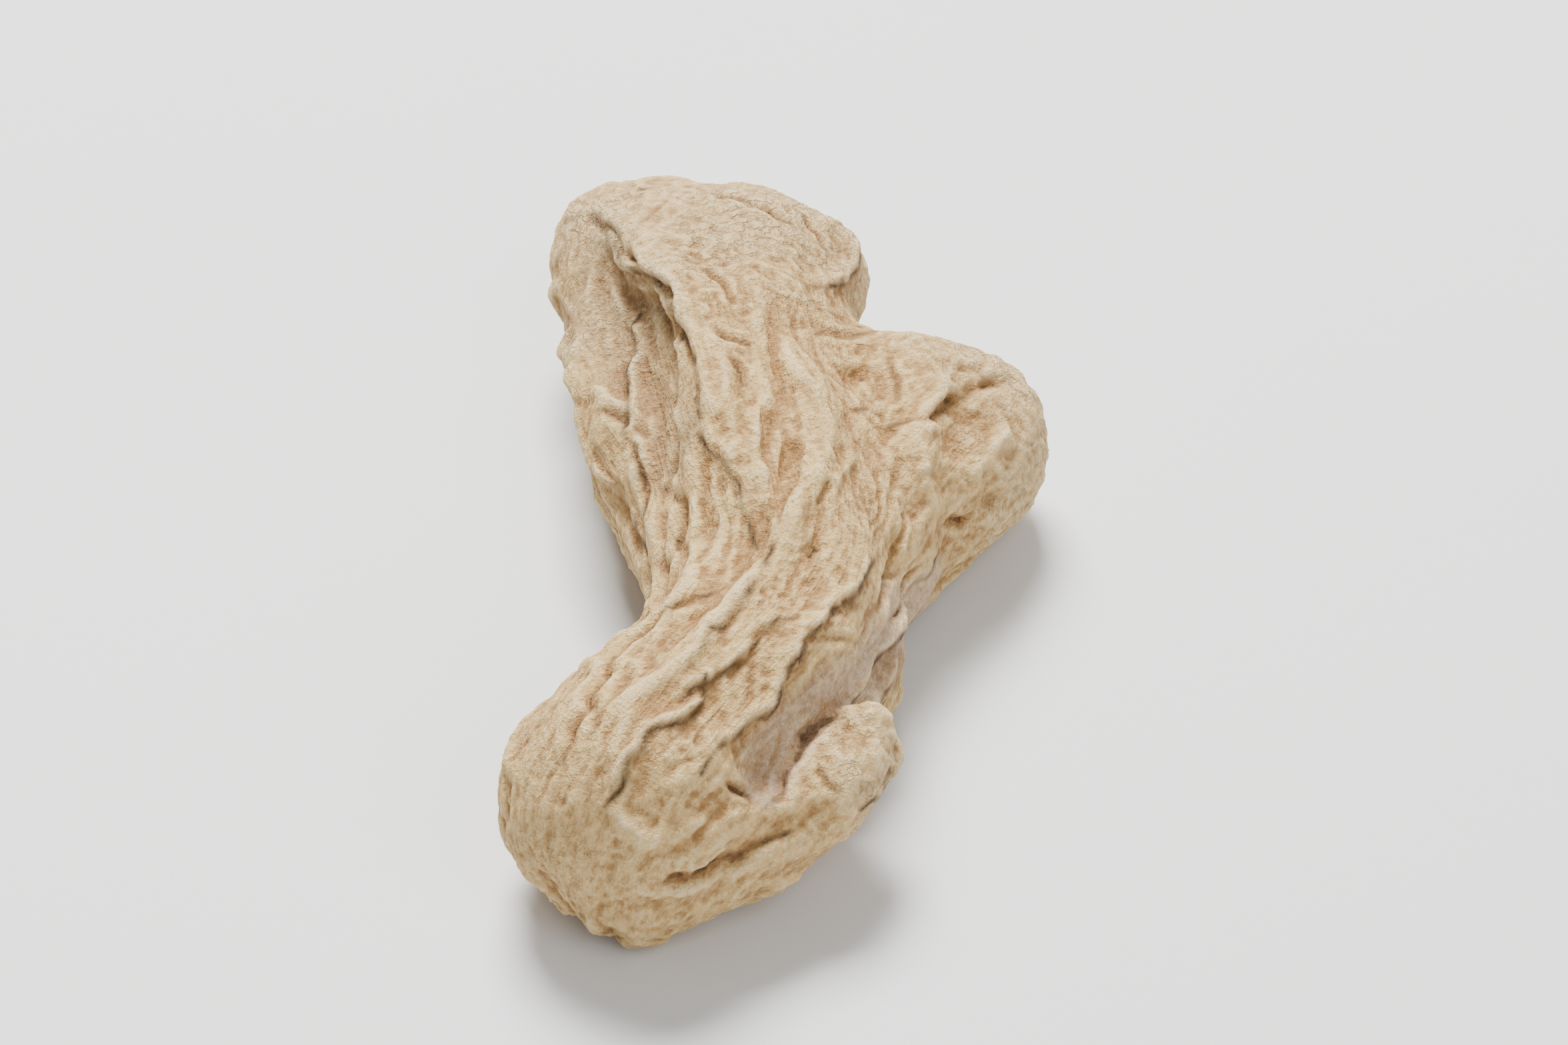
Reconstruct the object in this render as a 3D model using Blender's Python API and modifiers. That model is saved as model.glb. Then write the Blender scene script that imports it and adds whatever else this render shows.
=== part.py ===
"""Dried ginger root: one branched rhizome lying on its flatter side.

Metres, +Z up. The origin is under the middle of the root, on the surface that it rests on. The rhizome grew in
one piece, so it is one solid: a bent stem with a broad back lobe, a waist and a foot, a knob on its right and a
curved finger that leaves the foot, with the folds that the skin drew into as the flesh dried. It rests on three
small flats, under the back lobe, the knob and the foot.

Run with: blender --background --python part.py
"""

import math
from dataclasses import dataclass

import bmesh
import bpy
from mathutils import Matrix, Vector
from mathutils.bvhtree import BVHTree
from mathutils.kdtree import KDTree

MM = 0.001

# Driving dimensions, in millimetres. +Y is the root's back and +X its right.
STEM_BACK = 16.4  # the middle of the back lobe's end, behind the bend
STEM_FRONT = 16.4  # the middle of the foot's end, in front of the bend
LOBE_SWING = 3.4  # how far the back lobe's end lies to the left of the bend
FOOT_SWING = 6.4  # how far the foot's end lies to the left of the bend
BACK_LOBE_RADIUS = 6.9
KNUCKLE_RADIUS = 3.4  # the two low knuckles that square off the back lobe's end
WAIST_RADIUS = 6.3
FOOT_RADIUS = 6.2
STEM_FLATNESS = 0.92  # the stem's height over its width
KNOB_LENGTH = 13.6  # from its root in the waist to the middle of its end
KNOB_RADIUS = 4.8
FINGER_LENGTH = 12.0  # from its root in the foot to the middle of its tip
FINGER_RADIUS = 2.3
FINGER_RISE = 2.4  # how far the finger climbs on its way
REST_DEPTH = 0.4  # how far the lowest places are pressed flat where the root rests

# How fine the solid is: steps and voxels in millimetres.
BALL_STEP = 0.8
BALL_SEGMENTS = 20
FOLD_STEP = 0.3
BODY_VOXEL = 0.45
BODY_SMOOTHING = 14
SOLID_VOXEL = 0.4
SOLID_SMOOTHING = 10
TRIANGLE_SHARE = 0.14

SKIN_COLOUR = (0.60, 0.45, 0.29, 1.0)
SKIN_ROUGHNESS = 0.85


@dataclass
class Station:
    """A place on a limb's axis, with the limb's half width and half height there, in millimetres."""

    x: float
    y: float
    z: float
    half_width: float
    half_height: float


@dataclass
class Fold:
    """A ridge or groove of the skin along a limb, dropped on the body.

    A place on its path is (along, across): the share of the limb's axis behind it, and how far left of the axis
    it lies, in half widths. It fades out sideways at its reach. A positive height stands proud and a negative
    one is sunk, both in millimetres.
    """

    path: tuple
    reach: float
    height: float
    underside: bool = False


STEM_FOLDS = (
    # The back lobe's sharp edge and the flute beside it.
    Fold(((-0.10, -0.80), (0.0, -0.55), (0.12, -0.35), (0.24, -0.25), (0.36, -0.30), (0.47, -0.45)), 2.2, 0.8),
    Fold(((-0.05, -0.80), (0.10, -0.72), (0.20, -0.65), (0.32, -0.70), (0.45, -0.82)), 2.8, -2.2),
    # Two long folds that run over the waist and down to the foot, with the furrow between them.
    Fold(((0.18, 0.05), (0.30, 0.0), (0.42, -0.07), (0.53, -0.25), (0.72, -0.43), (0.87, -0.35)), 1.8, 0.6),
    Fold(((0.28, 0.40), (0.40, 0.35), (0.55, 0.13), (0.68, -0.03), (0.83, 0.04), (0.97, 0.15)), 1.7, 0.8),
    Fold(((0.24, 0.22), (0.38, 0.13), (0.54, -0.07), (0.70, -0.21), (0.87, -0.14)), 1.5, -0.5),
    # The hollow flank above the finger.
    Fold(((0.56, 0.95), (0.63, 0.95), (0.72, 0.97), (0.83, 0.95), (0.96, 0.85)), 5.4, -2.0),
    # The pinch at the bend, on the stem's other side.
    Fold(((0.34, -0.97), (0.47, -0.97), (0.75, -0.95)), 3.0, -0.9),
    # The underside's long hollow and a furrow beside it.
    Fold(((0.19, -0.10), (0.33, 0.0), (0.48, 0.0), (0.63, -0.20), (0.80, -0.20)), 4.4, -1.6, underside=True),
    Fold(((0.0, -0.60), (0.16, -0.60), (0.30, -0.57)), 2.0, -0.9, underside=True),
)

KNOB_FOLDS = (
    # The shallow dent at the end, the rim beside it, and the pinch under the knob's front side.
    Fold(((1.16, -0.10), (1.0, -0.42), (0.80, -0.70)), 3.0, -0.8),
    Fold(((1.07, 0.50), (0.82, 0.15), (0.55, -0.45)), 1.8, 0.5),
    Fold(((0.62, -0.97), (0.38, -0.97), (0.14, -0.90)), 2.2, -1.0),
    Fold(((0.10, -0.27), (0.42, -0.25), (0.65, -0.10)), 2.4, -1.2, underside=True),
)


def clear_scene():
    for obj in list(bpy.data.objects):
        bpy.data.objects.remove(obj)


def collection_named(name):
    made = bpy.data.collections.new(name)
    bpy.context.scene.collection.children.link(made)
    return made


def between(a, b, c, d, t):
    """Catmull-Rom value at t between b and c."""
    return b + 0.5 * t * (c - a + t * (2 * a - 5 * b + 4 * c - d + t * (3 * (b - c) + d - a)))


def smooth_rows(rows, step):
    """Rows about `step` apart, by their first two numbers, on a smooth path through the given rows."""
    found = []
    last = len(rows) - 1
    for i in range(last):
        four = (rows[max(0, i - 1)], rows[i], rows[i + 1], rows[min(last, i + 2)])
        count = max(1, round(math.dist(rows[i][:2], rows[i + 1][:2]) / step))
        found += [tuple(between(*column, k / count) for column in zip(*four)) for k in range(count)]
    return found + [tuple(rows[-1])]


def add_ball(shape, centre, radii):
    """A ball with its own radius along each axis, in millimetres."""
    bmesh.ops.create_uvsphere(
        shape,
        u_segments=BALL_SEGMENTS,
        v_segments=BALL_SEGMENTS // 2,
        radius=MM,
        matrix=Matrix.Translation(Vector(centre) * MM) @ Matrix.Diagonal(radii).to_4x4(),
    )


def axis_rows(stations):
    """Rows of x, y, z, half width and half height along a limb's smooth axis."""
    return smooth_rows([(s.x, s.y, s.z, s.half_width, s.half_height) for s in stations], BALL_STEP)


def add_limb(shape, stations):
    """A limb swept from balls along its axis."""
    for x, y, z, half_width, half_height in axis_rows(stations):
        add_ball(shape, (x, y, z), (half_width, half_width, half_height))


def plan_place(rows, along, across):
    """The place in plan of (along, across) on a limb. Past its ends the limb's axis goes straight on."""
    position = along * (len(rows) - 1)
    i = min(max(int(position), 0), len(rows) - 2)
    start = Vector(rows[i][:2])
    step = Vector(rows[i + 1][:2]) - start
    left = Vector((-step.y, step.x)).normalized()
    return tuple(start + (position - i) * step + across * rows[i][3] * left)


def stem():
    """The bent stem, from its back lobe over the waist to its foot. Its underside lies level."""
    back = STEM_FLATNESS * BACK_LOBE_RADIUS
    waist = STEM_FLATNESS * WAIST_RADIUS
    foot = STEM_FLATNESS * FOOT_RADIUS
    shoulder = 0.5 * (BACK_LOBE_RADIUS + WAIST_RADIUS)
    return [
        Station(-LOBE_SWING, STEM_BACK, back, BACK_LOBE_RADIUS, back),
        Station(0.8 - LOBE_SWING, STEM_BACK - 7.0, back, BACK_LOBE_RADIUS, back),
        Station(-0.9, 1.5, back, shoulder, waist),
        Station(0.2, -6.0, waist, WAIST_RADIUS, waist),
        Station(1.0 - FOOT_SWING, 0.8 - STEM_FRONT, foot, FOOT_RADIUS, foot),
        Station(-FOOT_SWING, -STEM_FRONT, foot, FOOT_RADIUS - 0.2, foot),
    ]


def knuckles(stem_stations):
    """Short limbs that push the back lobe's end out into two corners."""
    end = stem_stations[0]
    corners = ((-0.62, 0.70, 0.4), (0.62, 0.34, 0.0))
    limbs = []
    for across, along, rise in corners:
        tip = Station(
            end.x + across * BACK_LOBE_RADIUS,
            end.y + along * BACK_LOBE_RADIUS,
            end.z + rise,
            KNUCKLE_RADIUS,
            KNUCKLE_RADIUS,
        )
        limbs.append([end, tip])
    return limbs


def branch(start, heading, turn, length, rise, half_widths, half_height_share=1.0):
    """Stations of a side branch that leaves `start` at a heading, turns evenly and climbs. Angles in degrees."""
    x, y, z = start
    spans = len(half_widths) - 1
    stations = [Station(x, y, z, half_widths[0], half_widths[0] * half_height_share)]
    for i in range(spans):
        angle = math.radians(heading + turn * (i + 0.5) / spans)
        x += length / spans * math.cos(angle)
        y += length / spans * math.sin(angle)
        z += rise / spans
        half_width = half_widths[i + 1]
        stations.append(Station(x, y, z, half_width, half_width * half_height_share))
    return stations


def knob(stem_stations):
    """The stub on the stem's right side, which leaves the waist and leans back."""
    waist = stem_stations[3]
    start = (waist.x + 0.6, waist.y + 3.2, waist.z)
    widths = (WAIST_RADIUS - 1.1, WAIST_RADIUS - 1.6, KNOB_RADIUS, KNOB_RADIUS)
    return branch(start, 62, -6, KNOB_LENGTH, KNOB_RADIUS - waist.z, widths)


def web(stem_stations, knob_stations):
    """The flesh that fills the corner between the back lobe and the knob."""
    lobe = stem_stations[1]
    end = knob_stations[-1]
    return [
        Station(lobe.x + 2.0, lobe.y, lobe.z, KNOB_RADIUS, KNOB_RADIUS),
        Station(end.x - 0.4, end.y, end.z + 0.3, KNOB_RADIUS, KNOB_RADIUS),
    ]


def finger(stem_stations):
    """The thin side shoot that leaves the foot's front and curls along its right side."""
    foot = stem_stations[-1]
    start = (foot.x + 0.2, foot.y - 3.3, FINGER_RADIUS + 1.3)
    widths = (FINGER_RADIUS + 0.6, FINGER_RADIUS + 0.2, FINGER_RADIUS, FINGER_RADIUS - 0.1, FINGER_RADIUS - 0.5)
    return branch(start, 4, 58, FINGER_LENGTH, FINGER_RISE, widths)


def dropped(tree, plan, underside):
    """The body's surface points over or under a path in plan, where it crosses the body, in metres."""
    side = -1.0 if underside else 1.0
    found = []
    for x, y in smooth_rows(plan, FOLD_STEP):
        point = tree.ray_cast(Vector((x * MM, y * MM, side)), Vector((0.0, 0.0, -side)))[0]
        if point is not None:
            found.append(point)
    return found


def press_fold(shape, stations, fold):
    """Moves the skin near a fold along its own normals, less and less towards the fold's sides and ends."""
    rows = axis_rows(stations)
    plan = [plan_place(rows, along, across) for along, across in fold.path]
    path = dropped(BVHTree.FromBMesh(shape), plan, fold.underside)
    nearest = KDTree(len(path))
    for i, point in enumerate(path):
        nearest.insert(point, i)
    nearest.balance()
    moves = []
    for vert in shape.verts:
        _, i, distance = nearest.find(vert.co)
        beside = distance / (fold.reach * MM)
        if beside < 1:
            along = (i + 0.5) / len(path)
            share = (1 - beside * beside) ** 2 * math.sqrt(4 * along * (1 - along))
            moves.append((vert, vert.normal * (fold.height * MM * share)))
    for vert, move in moves:
        vert.co += move
    shape.normal_update()


def new_object(name, shape, collection):
    """An object from a bmesh, which is freed."""
    mesh = bpy.data.meshes.new(name)
    shape.to_mesh(mesh)
    shape.free()
    obj = bpy.data.objects.new(name, mesh)
    collection.objects.link(obj)
    return obj


def applied(obj):
    """Replaces an object's mesh by what its modifiers make of it."""
    graph = bpy.context.evaluated_depsgraph_get()
    made = bpy.data.meshes.new_from_object(obj.evaluated_get(graph))
    obj.modifiers.clear()
    obj.data = made


def add_skin(obj, voxel, smoothing):
    """Modifiers that make overlapping shapes one skin and soften it."""
    remesh = obj.modifiers.new("one_skin", "REMESH")
    remesh.mode = "VOXEL"
    remesh.voxel_size = voxel * MM
    soften = obj.modifiers.new("soften", "SMOOTH")
    soften.factor = 0.5
    soften.iterations = smoothing


def add_cut(obj, cutter):
    cut = obj.modifiers.new("cut_" + cutter.name, "BOOLEAN")
    cut.operation = "DIFFERENCE"
    cut.object = cutter


def settle(obj):
    """Moves the root's middle over the origin and its lowest point REST_DEPTH below the floor."""
    corners = [Vector(corner) for corner in obj.bound_box]
    low = Vector([min(column) for column in zip(*corners)])
    high = Vector([max(column) for column in zip(*corners)])
    shift = Vector((-0.5 * (low.x + high.x), -0.5 * (low.y + high.y), -low.z - REST_DEPTH * MM))
    obj.data.transform(Matrix.Translation(shift))


def floor_cutter(collection):
    """The slab under the floor, which cuts the resting places flat."""
    side = 4 * (STEM_BACK + STEM_FRONT)
    shape = bmesh.new()
    slab = Matrix.Translation((0.0, 0.0, -0.5 * side * MM)) @ Matrix.Diagonal((side * MM,) * 3).to_4x4()
    bmesh.ops.create_cube(shape, size=1.0, matrix=slab)
    cutter = new_object("floor", shape, collection)
    cutter.hide_render = True
    cutter.display_type = "WIRE"
    return cutter


def skin_material():
    material = bpy.data.materials.new("dried_skin")
    material.use_nodes = True
    shader = material.node_tree.nodes["Principled BSDF"]
    shader.inputs["Base Color"].default_value = SKIN_COLOUR
    shader.inputs["Roughness"].default_value = SKIN_ROUGHNESS
    return material


def folded_body(collection):
    """The stem with its knob as one smooth body, with the folds pressed into it."""
    limbs = bmesh.new()
    stem_stations = stem()
    knob_stations = knob(stem_stations)
    add_limb(limbs, stem_stations)
    for knuckle in knuckles(stem_stations):
        add_limb(limbs, knuckle)
    add_limb(limbs, knob_stations)
    add_limb(limbs, web(stem_stations, knob_stations))
    body = new_object("ginger_root", limbs, collection)
    add_skin(body, BODY_VOXEL, BODY_SMOOTHING)
    applied(body)
    shape = bmesh.new()
    shape.from_mesh(body.data)
    for fold in STEM_FOLDS:
        press_fold(shape, stem_stations, fold)
    for fold in KNOB_FOLDS:
        press_fold(shape, knob_stations, fold)
    shape.to_mesh(body.data)
    shape.free()
    return body


def grow_finger(body):
    """Adds the finger to the folded body, as one skin."""
    shape = bmesh.new()
    shape.from_mesh(body.data)
    add_limb(shape, finger(stem()))
    shape.to_mesh(body.data)
    shape.free()
    add_skin(body, SOLID_VOXEL, SOLID_SMOOTHING)
    decimate = body.modifiers.new("fewer_faces", "DECIMATE")
    decimate.ratio = TRIANGLE_SHARE
    applied(body)


def build():
    clear_scene()
    parts = collection_named("ginger_root_parts")
    cutters = collection_named("ginger_root_cutters")
    root = folded_body(parts)
    grow_finger(root)
    settle(root)
    add_cut(root, floor_cutter(cutters))
    root.data.materials.append(skin_material())


build()
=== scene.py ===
"""Dried ginger root: its wrinkled skin, its finish and the studio it lies in.

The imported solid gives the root's body, its branches and its large hollows. A copy of it is meshed
finely and sculpted in two passes. The first pass raises lumps, long folds and the broad ones of the
folds that are drawn for this root. The second draws its narrow folds, fine wrinkles and pits. All
sculpting lengths are in millimetres.
"""

import itertools
import logging
import math
from collections.abc import Iterable
from dataclasses import dataclass, field
from enum import Enum, IntEnum
from functools import cached_property
from typing import ClassVar

import bmesh
import bpy
import numpy as np
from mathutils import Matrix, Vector
from mathutils.bvhtree import BVHTree
from mathutils.kdtree import KDTree


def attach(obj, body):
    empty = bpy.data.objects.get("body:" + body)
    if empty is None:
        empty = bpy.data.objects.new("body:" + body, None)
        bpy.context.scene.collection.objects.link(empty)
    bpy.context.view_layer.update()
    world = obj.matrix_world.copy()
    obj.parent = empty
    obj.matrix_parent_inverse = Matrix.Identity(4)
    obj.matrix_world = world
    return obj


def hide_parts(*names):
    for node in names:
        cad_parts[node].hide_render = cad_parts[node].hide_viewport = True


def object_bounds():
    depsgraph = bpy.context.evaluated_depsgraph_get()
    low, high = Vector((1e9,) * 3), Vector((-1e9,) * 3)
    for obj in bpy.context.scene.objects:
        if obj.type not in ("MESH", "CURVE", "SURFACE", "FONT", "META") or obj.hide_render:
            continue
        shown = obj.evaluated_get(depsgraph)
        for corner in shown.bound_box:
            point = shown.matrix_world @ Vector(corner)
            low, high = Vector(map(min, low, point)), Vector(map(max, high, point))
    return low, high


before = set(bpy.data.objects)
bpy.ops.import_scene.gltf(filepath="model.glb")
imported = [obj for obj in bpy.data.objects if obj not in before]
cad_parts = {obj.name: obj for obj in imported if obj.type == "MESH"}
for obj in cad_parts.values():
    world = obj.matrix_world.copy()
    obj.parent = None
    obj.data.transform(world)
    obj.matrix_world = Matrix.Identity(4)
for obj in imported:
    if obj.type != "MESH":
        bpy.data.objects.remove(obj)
SOLID_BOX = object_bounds()

log = logging.getLogger("ginger_root")

MM = 0.001
TINY = 1e-9  # keeps a division from being one by nothing
SOLID_NODE = "ginger_root"
SKIN_SLOT = "dried_skin"
BODY = "root"

Place = tuple[float, float, float]
Colour = tuple[float, float, float]
Shades = tuple[Colour, Colour]


class Seed(IntEnum):
    """Which noise each use takes. A pair of noises takes its seed and the next one."""

    LUMPS = 20
    LONG_SWAY = 30
    SHORT_SWAY = 32
    FOLDS = 40
    LEDGES = 45
    PATCHES = 50
    WRINKLE_SWAY = 51
    LINE_SWAY = 53
    WRINKLES = 60
    SMALL_LEDGES = 65
    LINES = 70
    CRUMPLE = 75
    CRUMBS = 80
    GRIT = 81
    FOLD_WAVER = 90
    HAND = 95
    LINE_WAVER = 97


Sway = tuple[Seed, float, float]  # a sideways push's noise, its cell and how far it goes


def smoothstep(low: float, high: float, value: np.ndarray) -> np.ndarray:
    """A soft step: 0 up to low, and 1 from high on. It falls where low is above high."""
    share = np.clip((value - low) / (high - low), 0.0, 1.0)
    return share * share * (3.0 - 2.0 * share)


def row_products(first: np.ndarray, second: np.ndarray) -> np.ndarray:
    """The scalar product of each row of one array with its fellow in the other."""
    return np.einsum("ij,ij->i", first, second)


def smooth_path(points: Iterable[Iterable[float]], step: float) -> np.ndarray:
    """A Catmull-Rom path through given points.

    Args:
        points: The rows that the path goes through. Their first three numbers are a place.
        step: The rough distance between the rows of the result.

    Returns:
        The rows along the path.
    """
    rows = np.array([tuple(point) for point in points], dtype=float)
    padded = np.vstack([2.0 * rows[0] - rows[1], rows, 2.0 * rows[-1] - rows[-2]])
    found = []
    for i in range(len(rows) - 1):
        a, b, c, d = padded[i : i + 4]
        count = max(1, round(float(np.linalg.norm((c - b)[:3])) / step))
        for t in np.arange(count) / count:
            bend = 2 * a - 5 * b + 4 * c - d + t * (3 * (b - c) + d - a)
            found.append(b + 0.5 * t * (c - a + t * bend))
    found.append(rows[-1])
    return np.array(found)


class GradientNoise:
    """Smooth noise in space, about -1 to 1, that is the same on each run."""

    size = 256  # of the lattice, before it repeats
    gain = 1.5

    def __init__(self, seed: int) -> None:
        """Draws the lattice's gradients.

        Args:
            seed: Which noise this is.
        """
        draw = np.random.default_rng(seed)
        gradients = draw.normal(size=(self.size, 3))
        self.gradients = gradients / np.linalg.norm(gradients, axis=1)[:, None]
        self.order = np.concatenate([draw.permutation(self.size)] * 2)

    def at(self, places: np.ndarray) -> np.ndarray:
        """The noise's values.

        Args:
            places: Rows of three coordinates, in cells of the noise.

        Returns:
            One number for each row.
        """
        cell = np.floor(places).astype(int)
        inside = places - cell
        fade = inside**3 * (inside * (inside * 6.0 - 15.0) + 10.0)
        total = np.zeros(len(places))
        for corner in itertools.product((0, 1), repeat=3):
            x, y, z = ((cell + corner) & (self.size - 1)).T
            gradient = self.gradients[self.order[self.order[self.order[x] + y] + z]]
            weight = np.prod(np.where(corner, fade, 1.0 - fade), axis=1)
            total += weight * row_products(gradient, inside - corner)
        return self.gain * total


def noise_pair(seed: int, cells: np.ndarray) -> np.ndarray:
    """Rows of two noises at the same cells: the seed's and the next one's."""
    return np.column_stack([GradientNoise(seed + i).at(cells) for i in range(2)])


@dataclass(frozen=True)
class FlowLine:
    """The line inside a limb that its folds run along.

    Each row is x, y, z and the limb's radius there.
    """

    rows: tuple[tuple[float, float, float, float], ...]
    calm_start: float  # where the folds begin to grow, from the first row
    calm_end: float  # where they have grown
    path_step: float = 0.6
    gathering: float = 0.45  # how far the folds draw together where the limb narrows to its end
    core: float = 0.3  # the share of the radius inside which they don't

    def coordinates(self, places: np.ndarray) -> tuple[np.ndarray, np.ndarray]:
        """Where places are along and across the limb.

        Args:
            places: Rows of x, y, z.

        Returns:
            Rows of (along, left, up), with the last two drawn towards the limb's own radius so that
            folds meet at its ends, and the distance from the line in radii.
        """
        path = smooth_path(self.rows, self.path_step)
        spans = np.diff(path[:, :3], axis=0)
        lengths = np.linalg.norm(spans, axis=1)
        starts = np.concatenate([[0.0], np.cumsum(lengths)])
        tangents = np.vstack([spans[:1], spans[:-1] + spans[1:], spans[-1:]])
        tangents /= np.linalg.norm(tangents, axis=1)[:, None]
        nearest = np.full(len(places), np.inf)
        found = np.zeros((len(places), 3))
        for i, span in enumerate(spans):
            offset = places - path[i, :3]
            share = np.clip(offset @ span / lengths[i] ** 2, 0.0, 1.0)
            offset = offset - share[:, None] * span
            radius = path[i, 3] + share * (path[i + 1, 3] - path[i, 3])
            distance = np.linalg.norm(offset, axis=1) / radius
            better = distance < nearest
            tangent = tangents[i] + share[:, None] * (tangents[i + 1] - tangents[i])
            left = np.cross((0.0, 0.0, 1.0), tangent)
            left /= np.linalg.norm(left, axis=1)[:, None]
            up = np.cross(tangent, left)
            beyond = row_products(offset, tangent)
            across = np.stack([row_products(offset, left), row_products(offset, up)], axis=1)
            reach = np.linalg.norm(across, axis=1)
            across *= (radius / np.maximum(reach, self.core * radius))[:, None] ** self.gathering
            row = np.column_stack([starts[i] + share * lengths[i] + beyond, across])
            found[better] = row[better]
            nearest[better] = distance[better]
        return found, nearest


FLOW_LINES = {
    "stem": FlowLine(
        (
            (-3.5, 15.4, 5.9, 6.9),
            (-2.7, 8.4, 5.9, 6.9),
            (-1.0, 0.5, 5.7, 6.4),
            (0.1, -7.0, 5.3, 6.0),
            (-5.0, -16.0, 5.0, 6.2),
            (-7.4, -19.2, 3.0, 6.2),
            (-8.6, -20.8, -1.5, 6.0),
        ),
        calm_start=1.0,
        calm_end=12.0,
    ),
    "knob": FlowLine(
        (
            (7.7, 7.9, 4.4, 4.8),
            (5.2, 4.1, 4.8, 4.6),
            (3.0, -1.0, 5.0, 4.0),
            (1.6, -6.5, 5.2, 3.2),
            (-2.2, -12.5, 5.3, 2.6),
        ),
        calm_start=0.0,
        calm_end=7.5,
    ),
    "finger": FlowLine(
        (
            (3.4, -14.4, 5.5, 2.0),
            (1.6, -16.8, 4.9, 2.3),
            (-0.7, -18.8, 4.3, 2.4),
            (-3.4, -20.1, 3.7, 2.2),
            (-6.3, -20.7, 3.1, 1.6),
        ),
        calm_start=1.5,
        calm_end=7.5,
    ),
}


class Profile(Enum):
    """The cross-section of a drawn fold."""

    RIDGE = "a rounded crest"
    LEDGE = "a crest that falls off steeply on its right side"
    CREASE = "a narrow groove"
    HOLLOW = "a wide, soft groove"


RIDGE, LEDGE, CREASE, HOLLOW = Profile


class Side(Enum):
    """Where a fold is drawn from, as degrees round the root from its front and degrees above it."""

    FRONT = (0.0, 40.0)
    BACK = (180.0, 25.0)
    LEFT = (-90.0, 15.0)
    RIGHT = (90.0, 15.0)
    UNDER = (0.0, -89.0)

    def axes(self) -> tuple[Vector, Vector, Vector]:
        """The directions of the drawing.

        Returns:
            Its right, its up and the way towards the one who draws.
        """
        turn, rise = (math.radians(angle) for angle in self.value)
        right = Vector((math.cos(turn), math.sin(turn), 0.0))
        level = Vector((math.sin(turn), -math.cos(turn), 0.0))
        towards = math.cos(rise) * level + Vector((0.0, 0.0, math.sin(rise)))
        return right, towards.cross(right), towards


FRONT, BACK, LEFT, RIGHT, UNDER = Side
DRAWING_CENTRE = Vector((0.0, 0.0, 6.5))


@dataclass(frozen=True)
class Stroke:
    """A fold drawn on the skin, at places right and up of the drawing's centre."""

    places: tuple[tuple[float, float], ...]
    width: float  # half of the fold's own
    height: float  # how far it stands proud or is sunk
    profile: Profile
    side: Side = FRONT
    broad_width: float = 0.45

    @property
    def is_broad(self) -> bool:
        """Whether it shapes the skin before the fine mesh is made."""
        return self.profile is HOLLOW or (self.width > self.broad_width and self.profile is not CREASE)


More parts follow.
